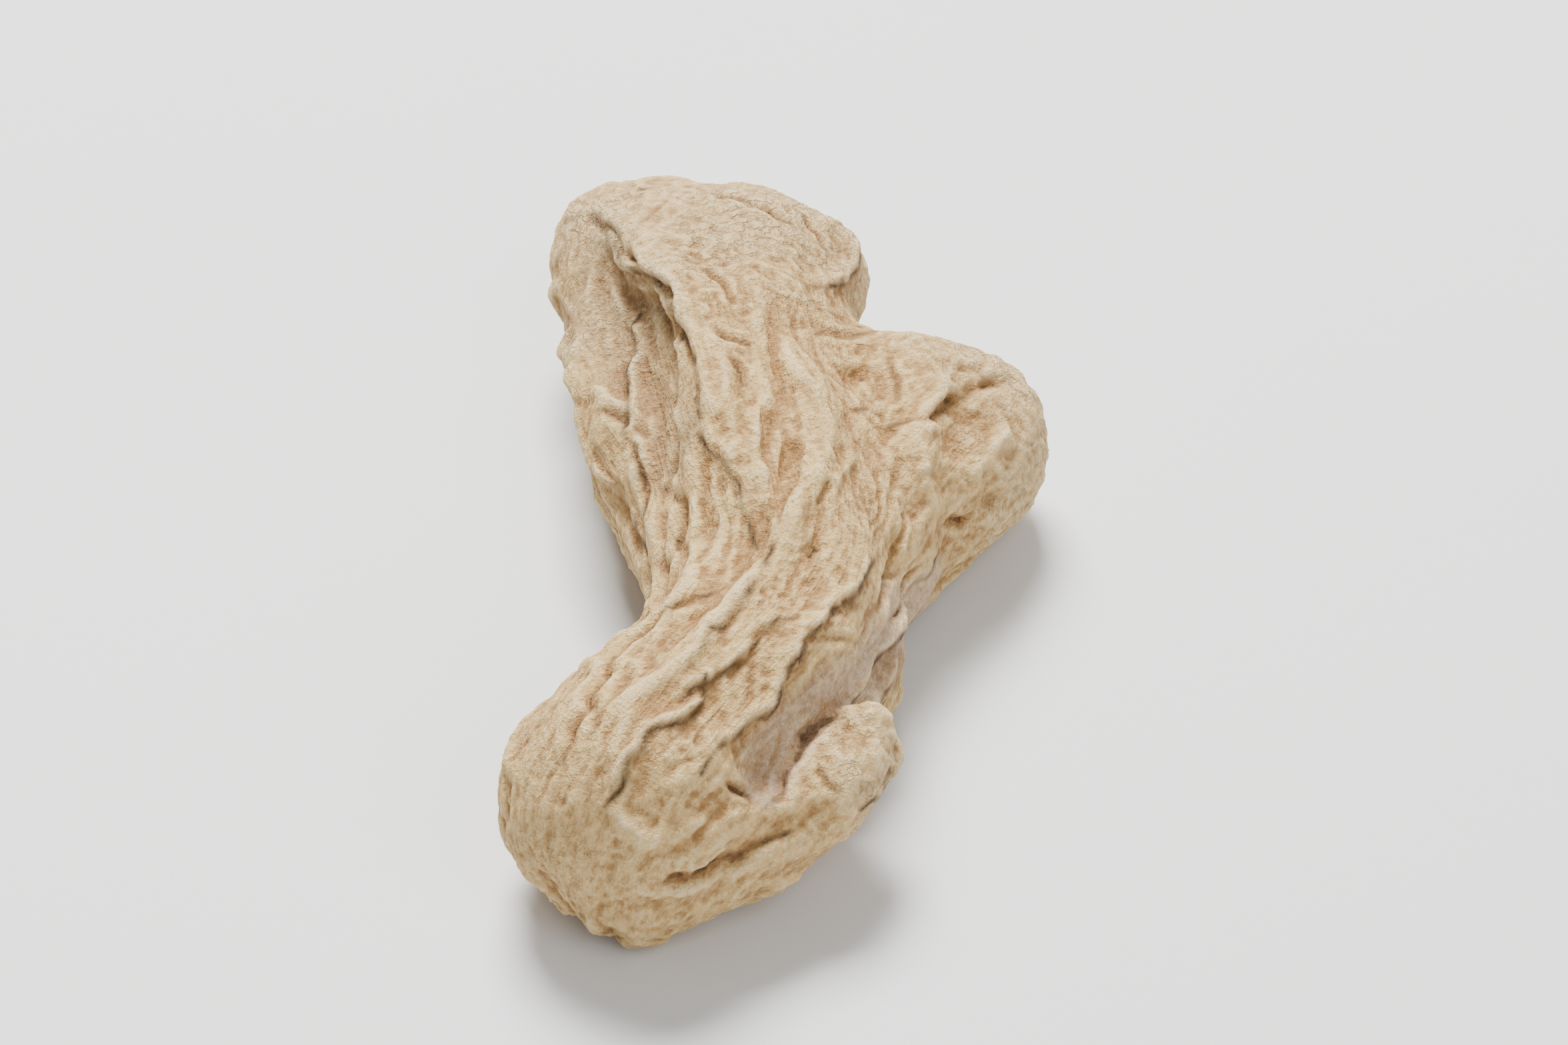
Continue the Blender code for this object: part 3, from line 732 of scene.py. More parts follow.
@dataclass
class RootSkin:
    """The root's visible skin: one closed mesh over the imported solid."""

    base_voxel: float = 0.24
    base_smoothing: int = 16
    fine_voxel: float = 0.18
    fine_smoothing: int = 1
    lumps: tuple[tuple[float, float], ...] = ((5.5, 0.3), (2.4, 0.1))  # each one's cell and height
    broad_sways: tuple[Sway, ...] = ((Seed.LONG_SWAY, 6.0, 1.4), (Seed.SHORT_SWAY, 2.2, 0.5))
    fine_sways: tuple[Sway, ...] = ((Seed.WRINKLE_SWAY, 3.2, 0.6), (Seed.LINE_SWAY, 1.2, 0.22))
    folds: Streaks = Streaks(Seed.FOLDS, 0.28, 15.0, 3.0, 2.8)
    ledges: Streaks = Streaks(Seed.LEDGES, 0.3, 13.0, 2.3, 0.12)
    wrinkles: Streaks = Streaks(Seed.WRINKLES, 0.18, 7.0, 1.3, 2.5)
    small_ledges: Streaks = Streaks(Seed.SMALL_LEDGES, 0.13, 6.0, 1.1, 0.1)
    lines: Streaks = Streaks(Seed.LINES, 0.07, 5.0, 0.7, 2.0)
    mean_crest: float = 0.4  # about a crest's mean height, so that folds don't swell the root
    patch_cell: float = 4.2
    crumple_height: float = 0.11
    crumple_cell: float = 1.7
    crumb_height: float = 0.07
    crumb_cell: float = 0.75
    grit_height: float = 0.045
    grit_cell: float = 0.5
    stroke_room: tuple[float, float] = (2.2, 0.8)  # where the other folds weaken beside a key stroke
    fold_reach: float = 2.6  # how far a drawn fold shapes the skin, in half widths
    fold_waver_cell: float = 1.4
    # The painted shadow lines in the drawn creases and at the foot of the drawn ledges.
    shadow_line_width: float = 0.16
    shadow_line_height: float = 0.3  # of the folds from which on it is darkest
    shadow_line_cell: float = 1.1
    ledge_foot: float = 0.7  # how far it lies from the ledge's crest, in half widths
    wandering_folds: int = 200
    wander_steps: tuple[int, int] = (8, 26)  # the fewest, and one more than the most
    wander_step: float = 0.4
    wander_turn: float = 0.2  # how far they start off the flow, in radians
    wander_bend: float = 0.13  # how much they bend at each step
    wander_widths: tuple[float, float] = (0.17, 0.3)
    wander_heights: tuple[float, float] = (0.08, 0.22)
    pits: int = 9
    pit_radii: tuple[float, float] = (0.28, 0.62)
    pit_stretch: float = 0.5  # how far at most it is drawn out along the flow
    pit_depth: float = 0.32  # in radii
    # Each relief's name, how many rounds blur the skin around it, and the height that counts as 1.
    reliefs: tuple[tuple[str, int, float], ...] = (
        ("crest", 5, 0.06),
        ("fold", 26, 0.17),
        ("swell", 110, 0.4),
    )
    relief_limit: float = 1.5
    draw: np.random.Generator = field(default_factory=lambda: np.random.default_rng(11))

    def build(self) -> bpy.types.Object:
        """Builds the skin.

        Returns:
            The finished object.
        """
        obj = self._copy_of_solid()
        self._remesh(obj, self.base_voxel, self.base_smoothing)
        self._sculpt_folds(SkinMesh(obj))
        self._remesh(obj, self.fine_voxel, self.fine_smoothing)
        self._sculpt_wrinkles(SkinMesh(obj))
        for polygon in obj.data.polygons:
            polygon.use_smooth = True
        return obj

    def _copy_of_solid(self) -> bpy.types.Object:
        """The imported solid's mesh in a new object, with its loose triangles joined.

        Returns:
            The new object.
        """
        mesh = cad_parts[SOLID_NODE].data.copy()
        mesh.name = "root_skin"
        shape = bmesh.new()
        shape.from_mesh(mesh)
        bmesh.ops.remove_doubles(shape, verts=shape.verts, dist=1e-6)
        shape.to_mesh(mesh)
        shape.free()
        mesh.materials.clear()
        obj = bpy.data.objects.new("root_skin", mesh)
        bpy.context.scene.collection.objects.link(obj)
        return obj

    def _remesh(self, obj: bpy.types.Object, voxel: float, smoothing: int) -> None:
        """Gives an object an even mesh and softens it.

        Args:
            obj: The object.
            voxel: The mesh's size.
            smoothing: How often it is softened.
        """
        bpy.ops.object.select_all(action="DESELECT")
        obj.select_set(True)
        bpy.context.view_layer.objects.active = obj
        remesh = obj.modifiers.new("even_mesh", "REMESH")
        remesh.mode = "VOXEL"
        remesh.voxel_size = voxel * MM
        soften = obj.modifiers.new("soften", "SMOOTH")
        soften.factor = 0.5
        soften.iterations = smoothing
        for modifier in (remesh, soften):
            bpy.ops.object.modifier_apply(modifier=modifier.name)

    def _sway(self, places: np.ndarray, sways: tuple[Sway, ...]) -> np.ndarray:
        """The sum of sideways pushes that make streaks wander, as rows of left and up."""
        return sum(reach * noise_pair(seed, places / cell) for seed, cell, reach in sways)

    def _sculpt_folds(self, skin: SkinMesh) -> None:
        """The first pass: lumps, long folds and the broad strokes.

        Args:
            skin: The skin, at its base size.
        """
        flow = FlowField.over(skin.places)
        heights = np.zeros(len(skin.places))
        for i, (cell, height) in enumerate(self.lumps):
            heights += height * GradientNoise(Seed.LUMPS + i).at(skin.places / cell)
        strength = (1.0 - 0.85 * flow.calm) * (1.0 - 0.4 * self._near_strokes(skin))
        strength *= self._outside(skin, FOLD_LOSSES)
        sway = self._sway(skin.places, self.broad_sways)
        heights += self.folds.height * strength * (self.folds.crests(flow, sway) - self.mean_crest)
        heights += self.ledges.height * strength * (self.ledges.ledges(flow, sway) - 0.5)
        self._draw(skin, [stroke for stroke in STROKES if stroke.is_broad], heights)
        skin.raised(heights)

    def _sculpt_wrinkles(self, skin: SkinMesh) -> None:
        """The second pass: narrow strokes, wrinkles and pits, and the attributes that the finish reads.

        Args:
            skin: The skin, at its final size.
        """
        flow = FlowField.over(skin.places)
        strength = (1.0 - 0.7 * flow.calm) * self._outside(skin, WRINKLE_LOSSES)
        strength *= 1.0 - 0.5 * self._near_strokes(skin)
        sway = self._sway(skin.places, self.fine_sways)
        heights = self._wrinkle_heights(skin, flow, strength, sway)
        heights += self._crumple_heights(skin, flow, sway)
        self._draw(skin, [stroke for stroke in STROKES if not stroke.is_broad], heights)
        self._let_wander(skin, strength, heights)
        pit = self._press_pits(skin, heights)
        skin.raised(heights)
        self._store_character(skin, flow, pit)

    def _wrinkle_heights(
        self, skin: SkinMesh, flow: FlowField, strength: np.ndarray, sway: np.ndarray
    ) -> np.ndarray:
        """Wrinkles, small ledges and fine lines along the limbs.

        Args:
            skin: The skin.
            flow: Its flow field.
            strength: How strong the folds are at each vertex.
            sway: The streaks' sideways pushes.

        Returns:
            Their height at each vertex.
        """
        patches = GradientNoise(Seed.PATCHES).at(skin.places / self.patch_cell)
        patches = smoothstep(-0.35, 0.35, patches)
        wrinkles = self.wrinkles.crests(flow, sway) - self.mean_crest
        heights = self.wrinkles.height * strength * (0.4 + 0.6 * patches) * wrinkles
        ledges = self.small_ledges.ledges(flow, sway) - 0.5
        heights += self.small_ledges.height * strength * (1.0 - 0.5 * patches) * ledges
        lines = self.lines.crests(flow, sway) - self.mean_crest
        heights += self.lines.height * (1.0 - 0.8 * flow.calm) * (1.0 - 0.6 * patches) * lines
        return heights

    def _crumple_heights(self, skin: SkinMesh, flow: FlowField, sway: np.ndarray) -> np.ndarray:
        """Creases and grit without a direction.

        Args:
            skin: The skin.
            flow: Its flow field.
            sway: The streaks' sideways pushes.

        Returns:
            Their height at each vertex.
        """
        kept = self._outside(skin, CRUMPLE_LOSSES)
        shaken = skin.places + 0.4 * np.column_stack([sway, sway[:, 0]])
        crumple = crests(GradientNoise(Seed.CRUMPLE).at(shaken / self.crumple_cell), 2.4)
        heights = self.crumple_height * kept * (0.4 + 0.6 * flow.calm) * (crumple - 0.35)
        crumbs = crests(GradientNoise(Seed.CRUMBS).at(shaken / self.crumb_cell), 1.8)
        heights += self.crumb_height * kept * (crumbs - self.mean_crest)
        heights += self.grit_height * GradientNoise(Seed.GRIT).at(skin.places / self.grit_cell)
        return heights

    def _outside(self, skin: SkinMesh, losses: tuple[tuple[Patch, float], ...]) -> np.ndarray:
        """How much of the folds each vertex keeps.

        Args:
            skin: The skin.
            losses: Patches, and how much of the folds they lose.

        Returns:
            Numbers from 0 to 1.
        """
        kept = np.ones(len(skin.places))
        for patch, loss in losses:
            kept *= 1.0 - loss * self._near_patch(skin, patch)
        return kept

    def _near_strokes(self, skin: SkinMesh) -> np.ndarray:
        """How near each vertex is to the key strokes.

        Args:
            skin: The skin.

        Returns:
            Numbers from 0 to 1.
        """
        share = np.zeros(len(skin.places))
        for stroke in KEY_STROKES:
            path, _ = skin.drawn(stroke.places, stroke.side)
            numbers, distances, _ = skin.beside(path[::3], self.stroke_room[0])
            share[numbers] = np.maximum(share[numbers], smoothstep(*self.stroke_room, distances))
        return share

    def _near_patch(self, skin: SkinMesh, patch: Patch) -> np.ndarray:
        """How much each vertex belongs to a patch.

        Args:
            skin: The skin.
            patch: The patch.

        Returns:
            Numbers from 0 to 1.
        """
        share = np.zeros(len(skin.places))
        path, _ = skin.drawn(patch.places, FRONT)
        numbers, distances, _ = skin.beside(path, patch.reach)
        share[numbers] = smoothstep(1.0, 0.45, distances / patch.reach)
        return share

    def _painted_shadow_lines(self, skin: SkinMesh) -> np.ndarray:
        """Painted shadow lines in the drawn creases and at the foot of the drawn ledges.

        Args:
            skin: The skin.

        Returns:
            Numbers from 0 to 1.
        """
        share = np.zeros(len(skin.places))
        for stroke in STROKES:
            path, outward = skin.drawn(stroke.places, stroke.side)
            if stroke.profile not in (CREASE, LEDGE) or len(path) < 2:
                continue
            numbers, offset, rows = skin.beside(path, stroke.width + 0.3)
            if stroke.profile is LEDGE:
                foot = self.ledge_foot * stroke.width
                offset = np.abs(skin.right_of(path, outward, numbers, rows) - foot)
            cells = skin.places[numbers] / self.shadow_line_cell
            waver = 0.75 + 0.8 * GradientNoise(Seed.LINE_WAVER).at(cells)
            line = np.clip(waver, 0.0, 1.0) * np.exp(-((offset / self.shadow_line_width) ** 2))
            line *= min(1.0, stroke.height / self.shadow_line_height)
            share[numbers] = np.maximum(share[numbers], line)
        return share

    def _draw(self, skin: SkinMesh, strokes: Iterable[Stroke], heights: np.ndarray) -> None:
        """Adds drawn folds to the heights.

        Args:
            skin: The skin.
            strokes: The folds.
            heights: The vertices' heights, which change in place.
        """
        for stroke in strokes:
            path, outward = skin.drawn(stroke.places, stroke.side)
            self._lay_fold(skin, path, outward, stroke.width, stroke.height, stroke.profile, heights)

    def _lay_fold(
        self,
        skin: SkinMesh,
        path: np.ndarray,
        outward: np.ndarray,
        width: float,
        height: float,
        profile: Profile,
        heights: np.ndarray,
    ) -> None:
        """Adds one fold to the heights.

        Args:
            skin: The skin.
            path: Rows of x, y, z on the skin.
            outward: The skin's outward directions there.
            width: The fold's half width.
            height: How far it stands proud or is sunk.
            profile: Its cross-section.
            heights: The vertices' heights, which change in place.
        """
        numbers, distances, rows = skin.beside(path, self.fold_reach * width)
        if not len(numbers):
            return
        along = (rows + 0.5) / len(path)
        cells = skin.places[numbers] / self.fold_waver_cell
        waver = 1.0 + 0.6 * GradientNoise(Seed.FOLD_WAVER).at(cells)
        fade = np.clip(6.0 * along * (1.0 - along), 0.0, 1.0) * waver
        beside = distances / width
        if profile is LEDGE:
            steep = skin.right_of(path, outward, numbers, rows) > 0
            beside = np.where(steep, 2.0 * beside, beside)
        if profile is CREASE:
            shape = -np.exp(-1.5 * beside**1.5) + 0.3 * np.exp(-((beside - 1.5) ** 2) / 0.35)
        elif profile is HOLLOW:
            shape = -np.exp(-(beside**2))
        else:
            shape = np.exp(-0.9 * beside**1.5)
        heights[numbers] *= 1.0 - 0.55 * np.clip(fade, 0.0, 1.0) * np.exp(-((beside / 1.5) ** 2))
        heights[numbers] += height * fade * shape

    def _let_wander(self, skin: SkinMesh, strength: np.ndarray, heights: np.ndarray) -> None:
        """Adds short ridges and creases that follow the limbs' flow.

        Args:
            skin: The skin.
            strength: How strong the folds are at each vertex.
            heights: The vertices' heights, which change in place.
        """
        for _ in range(self.wandering_folds):
            start = self.draw.integers(len(skin.places))
            place = skin.places[start]
            turn = self.draw.normal(scale=self.wander_turn)
            path = []
            outward = []
            for _ in range(int(self.draw.integers(*self.wander_steps))):
                near, normal, _, _ = skin.surface.find_nearest(Vector(place) * MM)
                path.append(near / MM)
                outward.append(normal)
                place = np.array(near / MM) + self.wander_step * self._flow_direction(skin, place, turn)
                turn += self.draw.normal(scale=self.wander_bend)
            profile = CREASE if self.draw.random() < 0.5 else RIDGE
            width = self.draw.uniform(*self.wander_widths)
            height = self.draw.uniform(*self.wander_heights) * strength[start]
            self._lay_fold(skin, np.array(path), np.array(outward), width, height, profile, heights)

    def _flow_direction(self, skin: SkinMesh, place: np.ndarray, turn: float) -> np.ndarray:
        """The direction of the nearest limb's flow on the skin.

        Args:
            skin: The skin.
            place: Where.
            turn: How far to turn away from the flow, in radians.

        Returns:
            A unit vector along the skin.
        """
        ahead = np.zeros(3)
        for line in FLOW_LINES.values():
            rows = np.array(line.rows)
            distances = np.linalg.norm(rows[:, :3] - place, axis=1) / rows[:, 3]
            i = min(int(np.argmin(distances)), len(rows) - 2)
            span = rows[i + 1, :3] - rows[i, :3]
            ahead += span / np.linalg.norm(span) * math.exp(-2.6 * float(distances[i]) ** 2)
        _, normal, _, _ = skin.surface.find_nearest(Vector(place) * MM)
        outward = np.array(normal)
        ahead -= ahead @ outward * outward
        ahead /= np.linalg.norm(ahead) + TINY
        return math.cos(turn) * ahead + math.sin(turn) * np.cross(outward, ahead)

    def _press_pits(self, skin: SkinMesh, heights: np.ndarray) -> np.ndarray:
        """Presses small pits into the skin.

        Args:
            skin: The skin.
            heights: The vertices' heights, which change in place.

        Returns:
            How much each vertex lies in a pit, from 0 to 1.
        """
        share = np.zeros(len(skin.places))
        for _ in range(self.pits):
            centre = skin.places[self.draw.integers(len(skin.places))]
            radius = self.draw.uniform(*self.pit_radii)
            length = self.draw.uniform(-self.pit_stretch, self.pit_stretch)
            stretch = length * self._flow_direction(skin, centre, 0.0)
            path = np.array([centre - stretch, centre, centre + stretch])
            numbers, distances, _ = skin.beside(path, radius)
            bowl = (1.0 - (distances / radius) ** 2) ** 2
            heights[numbers] -= self.pit_depth * radius * bowl
            share[numbers] = np.maximum(share[numbers], bowl)
        return share

    def _store_character(self, skin: SkinMesh, flow: FlowField, pit: np.ndarray) -> None:
        """Stores what the finish reads.

        Args:
            skin: The sculpted skin.
            flow: Its flow field.
            pit: How much each vertex lies in a pit.
        """
        for name, rounds, scale in self.reliefs:
            relief = skin.relief(rounds) / scale
            skin.store(name, np.clip(relief, -self.relief_limit, self.relief_limit))
        off_finger = smoothstep(0.6, 0.25, flow.shares["finger"])
        skin.store("flank", self._near_patch(skin, FLANK) * off_finger)
        skin.store("flute", self._near_patch(skin, FLUTE))
        # A mask for the painted shadow at the flank's right edge.
        skin.store("painted_shadow_wedge", self._near_patch(skin, SHADOW_WEDGE))
        # Painted shadow lines in the drawn creases and at the foot of the drawn ledges.
        skin.store("line", self._painted_shadow_lines(skin))
        skin.store("calm", flow.calm)
        skin.store("pit", pit)
        for name in FLOW_LINES:
            skin.store("flow_" + name, flow.coordinates[name])
            skin.store("share_" + name, flow.shares[name])


class Value:
    """A number that varies over a surface. Python's operators on it add Math nodes."""

    def __init__(self, tree: "FinishTree", socket: bpy.types.NodeSocket) -> None:
        """Wraps the output of one of the tree's nodes."""
        self.tree = tree
        self.socket = socket

    def math(self, operation: str, *others: "Value | float", clamp: bool = False) -> "Value":
        """A Math node on this value.

        Args:
            operation: The node's operation.
            others: Its other inputs.
            clamp: Whether the result is kept between 0 and 1.

        Returns:
            The node's output.
        """
        inputs = dict(enumerate((self, *others)))
        node = self.tree.add("ShaderNodeMath", {"operation": operation, "use_clamp": clamp}, inputs)
        return Value(self.tree, node.outputs[0])

    def __add__(self, other: "Value | float") -> "Value":
        """The sum."""
        return self.math("ADD", other)

    __radd__ = __add__

    def __mul__(self, other: "Value | float") -> "Value":
        """The product."""
        return self.math("MULTIPLY", other)

    __rmul__ = __mul__

    def __sub__(self, other: "Value | float") -> "Value":
        """The difference."""
        return self.math("SUBTRACT", other)

    def __rsub__(self, other: float) -> "Value":
        """A number less this value."""
        return (self * -1.0) + other

    def clamped(self) -> "Value":
        """This value kept between 0 and 1."""
        return self.math("ADD", 0.0, clamp=True)

    def step(self, low: float, high: float) -> "Value":
        """A soft step over this value.

        Args:
            low: Where the step leaves 0.
            high: Where it reaches 1.

        Returns:
            The stepped value.
        """
        settings = {"interpolation_type": "SMOOTHSTEP"}
        inputs = {"Value": self, "From Min": low, "From Max": high}
        return Value(self.tree, self.tree.add("ShaderNodeMapRange", settings, inputs).outputs["Result"])


class FinishTree:
    """The nodes of one material."""

    def __init__(self, name: str) -> None:
        """Makes the material.

        Args:
            name: The material's name.
        """
        self.material = bpy.data.materials.new(name)
        self.material.use_nodes = True
        self.nodes = self.material.node_tree.nodes
        self.shader = self.nodes["Principled BSDF"]

    def add(self, kind: str, settings: dict, inputs: dict) -> bpy.types.Node:
        """Adds any node.

        Args:
            kind: The node's type.
            settings: Its settings, which are set first.
            inputs: The values or links of its inputs, by name or number.

        Returns:
            The node.
        """
        node = self.nodes.new(kind)
        for key, setting in settings.items():
            setattr(node, key, setting)
        for key, given in inputs.items():
            self.feed(node.inputs[key], given)
        return node

    def feed(self, socket: bpy.types.NodeSocket, given: object) -> None:
        """Sets or links one input.

        Args:
            socket: The input.
            given: A Value, a node's output or a plain value.
        """
        if isinstance(given, Value):
            given = given.socket
        if isinstance(given, bpy.types.NodeSocket):
            self.material.node_tree.links.new(given, socket)
        elif isinstance(given, tuple) and socket.type == "RGBA":
            socket.default_value = (*given, 1.0)
        else:
            socket.default_value = given

    def attribute(self, name: str) -> Value:
        """A number stored on the mesh."""
        node = self.add("ShaderNodeAttribute", {"attribute_name": name}, {})
        return Value(self, node.outputs["Fac"])

    def scaled_attribute(self, name: str, scale: Place) -> bpy.types.NodeSocket:
        """A vector stored on the mesh, scaled.

        Args:
            name: The attribute's name.
            scale: The factor for each of its numbers.

        Returns:
            The scaled vector.
        """
        node = self.add("ShaderNodeAttribute", {"attribute_name": name}, {})
        inputs = {0: node.outputs["Vector"], 1: scale}
        return self.add("ShaderNodeVectorMath", {"operation": "MULTIPLY"}, inputs).outputs[0]

    def noise(self, vector: bpy.types.NodeSocket, scale: float, detail: float, roughness: float) -> Value:
        """Noise from 0 to 1. Its scale is in cells for each unit of the vector."""
        inputs = {"Vector": vector, "Scale": scale, "Detail": detail, "Roughness": roughness}
        return Value(self, self.add("ShaderNodeTexNoise", {}, inputs).outputs["Fac"])

    def mix(
        self,
        factor: "Value | float",
        under: "bpy.types.NodeSocket | Colour",
        over: "bpy.types.NodeSocket | Colour",
        blend: str = "MIX",
    ) -> bpy.types.NodeSocket:
        """The upper colour over the lower one. The factor is how much of it shows."""
        settings = {"data_type": "RGBA", "blend_type": blend}
        return self.add("ShaderNodeMix", settings, {"Factor": factor, 6: under, 7: over}).outputs[2]


@dataclass(frozen=True)
class SkinPatterns:
    """What varies over the skin: its three reliefs, about -1 to 1, and patterns from 0 to 1."""

    crest: Value
    fold: Value
    swell: Value
    calm: Value
    fibres: Value
    lined: Value
    bands: Value
    cloud: Value
    blotch: Value
    mottle: Value
    speck: Value
    crumb: Value
    grain: Value
    crackled: Value

    @cached_property
    def height(self) -> Value:
        """How proud the skin stands."""
        return 0.4 * self.crest + 0.5 * self.fold + 0.25 * self.swell

    @cached_property
    def dusty(self) -> Value:
        """How much dust lies on the skin."""
        return (self.calm * 0.8 + self.cloud * 1.4 + self.height * 0.45 - 1.05).step(0.0, 0.75)


@dataclass(frozen=True)
class DriedSkinFinish:
    """Dry, matt skin: tan, with pale dust on its crests, a painted highlight on the highest crests, and
    brown painted shade in its creases and hollows. Its sizes are in millimetres.
    """

    tan: Colour = (0.42, 0.24, 0.09)
    pale: Colour = (0.76, 0.525, 0.235)
    # Painted highlight on the highest crests.
    highlight_cream: Colour = (0.86, 0.66, 0.37)
    dust: Colour = (0.78, 0.60, 0.35)
    # Brown for painted shade in the creases and at the flank's right edge, and for the real crackle and
    # specks.
    brown: Colour = (0.24, 0.125, 0.05)
    # Near black for painted shadow in the deepest creases, in the pits and along the drawn shadow lines.
    deep_shadow: Colour = (0.08, 0.04, 0.018)
    flank: Colour = (0.58, 0.44, 0.34)
    shaded: Colour = (0.36, 0.235, 0.125)
    stain: Colour = (0.46, 0.24, 0.08)
    crumb_shades: Shades = ((0.24, 0.23, 0.22), (0.7, 0.71, 0.72))
    grain_shades: Shades = ((0.35, 0.35, 0.35), (0.68, 0.68, 0.68))
    fibre_size: tuple[float, float] = (0.16, 2.4)  # across and along the limbs
    line_size: tuple[float, float] = (0.5, 5.5)
    band_size: tuple[float, float] = (1.1, 9.0)
    cloud_size: float = 4.5
    blotch_size: float = 2.1
    mottle_size: float = 1.1
    crack_size: float = 0.75
    speck_size: float = 0.42
    crumb_size: float = 0.36
    grain_size: float = 0.13
    bump_depth: float = 0.2
    shine: float = 0.28

    def material(self) -> bpy.types.Material:
        """Builds the material.

        Returns:
            The material.
        """
        tree = FinishTree(SKIN_SLOT)
        skin = self._patterns(tree)
        rough = 0.3 * skin.lined + 0.15 * skin.fibres + 0.3 * skin.grain + 1.7 * skin.crumb
        rough -= 0.45 * skin.crackled
        inputs = {"Strength": 1.0, "Distance": self.bump_depth * MM, "Height": rough}
        bump = tree.add("ShaderNodeBump", {}, inputs)
        tree.feed(tree.shader.inputs["Base Color"], self._colour(tree, skin))
        tree.feed(tree.shader.inputs["Roughness"], 0.74 + 0.16 * skin.mottle + 0.08 * skin.dusty)
        tree.feed(tree.shader.inputs["Specular IOR Level"], self.shine)
        tree.feed(tree.shader.inputs["Normal"], bump.outputs["Normal"])
        return tree.material

    def _patterns(self, tree: FinishTree) -> SkinPatterns:
        """The patterns that the colour and the grain are made of.

        Args:
            tree: The nodes.

        Returns:
            The patterns.
        """
        place = tree.add("ShaderNodeTexCoord", {}, {}).outputs["Object"]
        calm = tree.attribute("calm")
        cloud = tree.noise(place, 1 / (self.cloud_size * MM), 4.0, 0.6)
        ripple = tree.noise(place, 1 / (self.crack_size * MM), 3.0, 0.6)
        cracks = (1.0 - 16.0 * (ripple - 0.5).math("ABSOLUTE")).clamped()
        lines = (1.0 - 7.0 * (self._fibres(tree, *self.line_size) - 0.5).math("ABSOLUTE")).clamped()
        return SkinPatterns(
            crest=tree.attribute("crest"),
            fold=tree.attribute("fold"),
            swell=tree.attribute("swell"),
            calm=calm,
            fibres=self._fibres(tree, *self.fibre_size),
            lined=lines * (1.0 - 0.75 * calm),
            bands=self._fibres(tree, *self.band_size),
            cloud=cloud,
            blotch=tree.noise(place, 1 / (self.blotch_size * MM), 4.0, 0.6),
            mottle=tree.noise(place, 1 / (self.mottle_size * MM), 5.0, 0.65),
            speck=tree.noise(place, 1 / (self.speck_size * MM), 2.0, 0.5),
            crumb=tree.noise(place, 1 / (self.crumb_size * MM), 4.0, 0.72),
            grain=tree.noise(place, 1 / (self.grain_size * MM), 3.0, 0.7),
            crackled=cracks * (0.45 + 0.55 * calm) * cloud.step(0.32, 0.6),
        )

    def _colour(self, tree: FinishTree, skin: SkinPatterns) -> bpy.types.NodeSocket:
        """The skin's colour, laid on layer by layer.

        Args:
            tree: The nodes.
            skin: The patterns.

        Returns:
            The colour.
        """
        height = skin.height
        lit = height + 0.35 * (skin.lined - 0.35) + 0.4 * (skin.bands - 0.5) + 0.45 * (skin.mottle - 0.5)
        sunk = -0.6 * skin.crest - 0.7 * skin.fold - 0.25 * skin.swell
        # Painted shade: the skin turns brown where it lies sunk in creases.
        crease_shade = (sunk - 0.3 * skin.lined + 0.45 * skin.mottle - 0.125).step(0.05, 1.0)
        # Painted highlight: the highest crests and folds turn pale.
        crest_highlight = 0.5 * skin.crest + 0.75 * skin.fold + 0.5 * (skin.mottle - 0.5)
        # Painted shadow in the deepest, narrowest creases.
        deepest_shade = -0.9 * skin.crest - 0.5 * skin.fold + 0.4 * (skin.grain - 0.5)
        layers = (
            (lit.step(-0.45, 0.6), self.pale),
            # Painted crease shade.
            (0.7 * crease_shade, self.brown),
            (0.75 * tree.attribute("flank") * (0.45 + 0.8 * skin.mottle), self.flank),
            (0.45 * (skin.blotch + 0.25 * crease_shade - 0.12 * height).step(0.56, 0.76), self.stain),
            # Painted shadow at the flank's right edge.
            (0.7 * tree.attribute("painted_shadow_wedge") * (0.4 + 0.8 * skin.mottle), self.brown),
            (0.7 * tree.attribute("flute") * (0.3 + 0.8 * skin.mottle), self.shaded),
            (0.6 * skin.dusty, self.dust),
            (0.2 * skin.fibres.step(0.35, 0.7), self.pale),
            (0.45 * skin.crackled, self.brown),
            (0.35 * skin.speck.step(0.66, 0.8), self.brown),
            # Painted highlight on the highest crests.
            (0.65 * crest_highlight.step(0.35, 1.2), self.highlight_cream),
            # Painted shadow in the deepest creases.
            (0.7 * deepest_shade.step(1.0, 1.8), self.deep_shadow),
            # Painted shadow lines in the drawn creases and at the foot of the drawn ledges.
            (0.9 * tree.attribute("line") * (0.5 + 1.2 * skin.crumb), self.deep_shadow),
            # Painted shade in the pits.
            (0.5 * tree.attribute("pit").step(0.35, 0.95), self.deep_shadow),
        )
        colour = self.tan
        for amount, over in layers:
            colour = tree.mix(amount, colour, over)
        crumbled = tree.mix(skin.crumb.step(0.32, 0.68), *self.crumb_shades)
        colour = tree.mix(0.7, colour, crumbled, "SOFT_LIGHT")
        return tree.mix(0.35, colour, tree.mix(skin.grain, *self.grain_shades), "SOFT_LIGHT")

    def _fibres(self, tree: FinishTree, across: float, along: float) -> Value:
        """Fibres along the limbs.

        Args:
            tree: The nodes.
            across: The fibres' width.
            along: Their length.

        Returns:
            A value from 0 to 1.
        """
        total = None
        for name in FLOW_LINES:
            vector = tree.scaled_attribute("flow_" + name, (1 / along, 1 / across, 1 / across))
            part = tree.noise(vector, 1.0, 2.0, 0.55) * tree.attribute("share_" + name)
            total = part if total is None else total + part
        return total


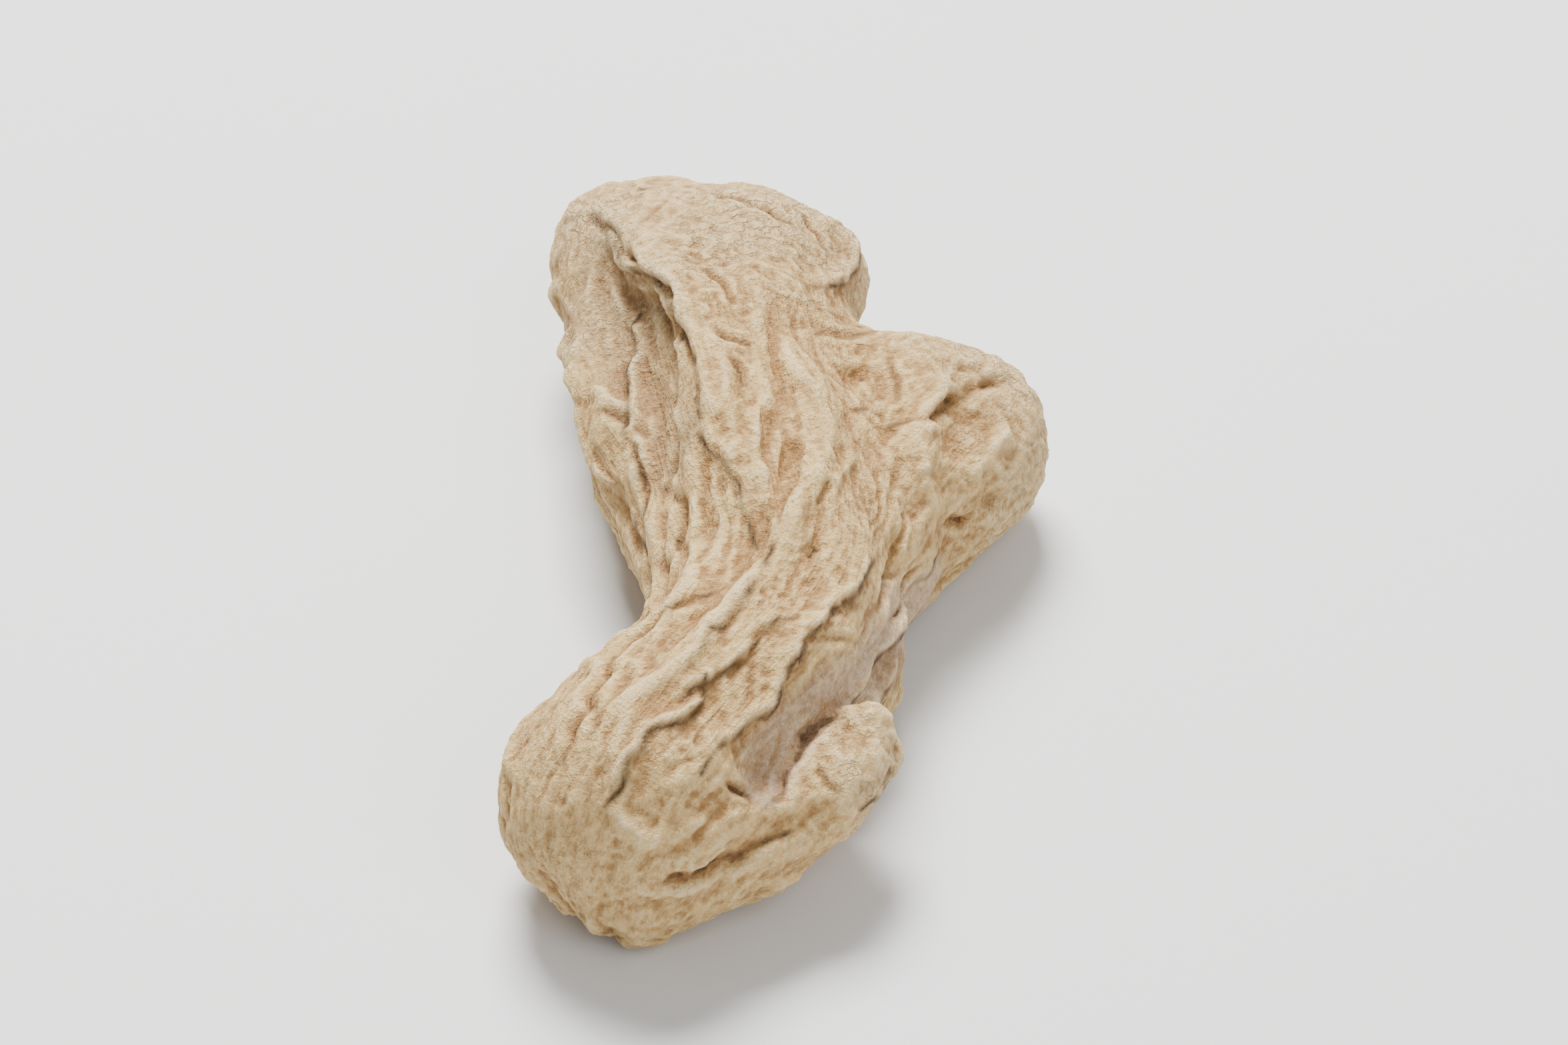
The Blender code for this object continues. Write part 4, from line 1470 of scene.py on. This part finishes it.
@dataclass
class Studio:
    """The floor, the lights and the camera."""

    view_height: float = 0.0475  # how much the camera sees from top to bottom at the root, in metres
    elevation: float = 40.0
    lens: float = 200.0
    sensor_width: float = 36.0
    frame_aspect: float = 2352 / 1568
    floor_width: float = 3.0
    floor_shades: Shades = ((0.74, 0.75, 0.77), (0.78, 0.79, 0.80))
    lamp_colour: Colour = (1.0, 0.985, 0.95)
    surroundings: Colour = (0.9, 0.91, 0.93)
    surroundings_strength: float = 0.36

    def build(self) -> None:
        """Builds the studio."""
        self._floor()
        self._lights()
        self._camera()

    def _floor(self) -> None:
        """The pale floor."""
        bpy.ops.object.select_all(action="DESELECT")
        bpy.ops.mesh.primitive_plane_add(size=self.floor_width)
        floor = bpy.context.object
        floor.name = "studio_floor"
        tree = FinishTree("studio_floor")
        place = tree.add("ShaderNodeTexCoord", {}, {}).outputs["Object"]
        tone = tree.noise(place, 60.0, 3.0, 0.5)
        tree.feed(tree.shader.inputs["Base Color"], tree.mix(tone, *self.floor_shades))
        tree.feed(tree.shader.inputs["Roughness"], 0.55 + 0.1 * tone)
        floor.data.materials.append(tree.material)

    def _area_light(self, name: str, place: Place, size: float, power: float) -> None:
        """One soft light aimed at the root.

        Args:
            name: Its name.
            place: Where it hangs, in metres.
            size: Its width, in metres.
            power: Its power in watts.
        """
        data = bpy.data.lights.new(name, "AREA")
        data.size = size
        data.energy = power
        data.color = self.lamp_colour
        light = bpy.data.objects.new(name, data)
        light.location = place
        light.rotation_euler = (-Vector(place)).to_track_quat("-Z", "Y").to_euler()
        bpy.context.scene.collection.objects.link(light)

    def _lights(self) -> None:
        """A broad light above and behind, a weak one in front, and pale surroundings."""
        self._area_light("window", (-0.06, 0.31, 0.45), 0.24, 8.8)
        self._area_light("fill", (0.25, -0.4, 0.4), 0.5, 2.4)
        world = bpy.data.worlds.new("surroundings")
        world.use_nodes = True
        background = world.node_tree.nodes["Background"]
        background.inputs["Color"].default_value = (*self.surroundings, 1.0)
        background.inputs["Strength"].default_value = self.surroundings_strength
        bpy.context.scene.world = world

    def _camera(self) -> None:
        """The camera, which looks down on the root from its front."""
        low, high = (Vector(corner) for corner in SOLID_BOX)
        middle = 0.5 * (low + high)
        angle = math.radians(self.elevation)
        away = Vector((0.0, -math.cos(angle), math.sin(angle)))
        distance = self.view_height * self.frame_aspect * self.lens / self.sensor_width
        data = bpy.data.cameras.new("camera")
        data.lens = self.lens
        data.sensor_width = self.sensor_width
        data.clip_start = 0.01
        camera = bpy.data.objects.new("camera", data)
        camera.location = middle + distance * away
        camera.rotation_euler = (-away).to_track_quat("-Z", "Y").to_euler()
        bpy.context.scene.collection.objects.link(camera)
        bpy.context.scene.camera = camera


def main() -> None:
    """Builds the root's skin and its studio."""
    logging.basicConfig(level=logging.INFO, format="%(name)s: %(message)s")
    skin = RootSkin().build()
    skin.data.materials.append(DriedSkinFinish().material())
    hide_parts(SOLID_NODE)
    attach(skin, BODY)
    triangles = sum(len(polygon.vertices) - 2 for polygon in skin.data.polygons)
    log.info("%s: %d triangles", skin.name, triangles)
    Studio().build()
    log.info("studio: floor, lights and camera")


if __name__ == "__main__":
    main()
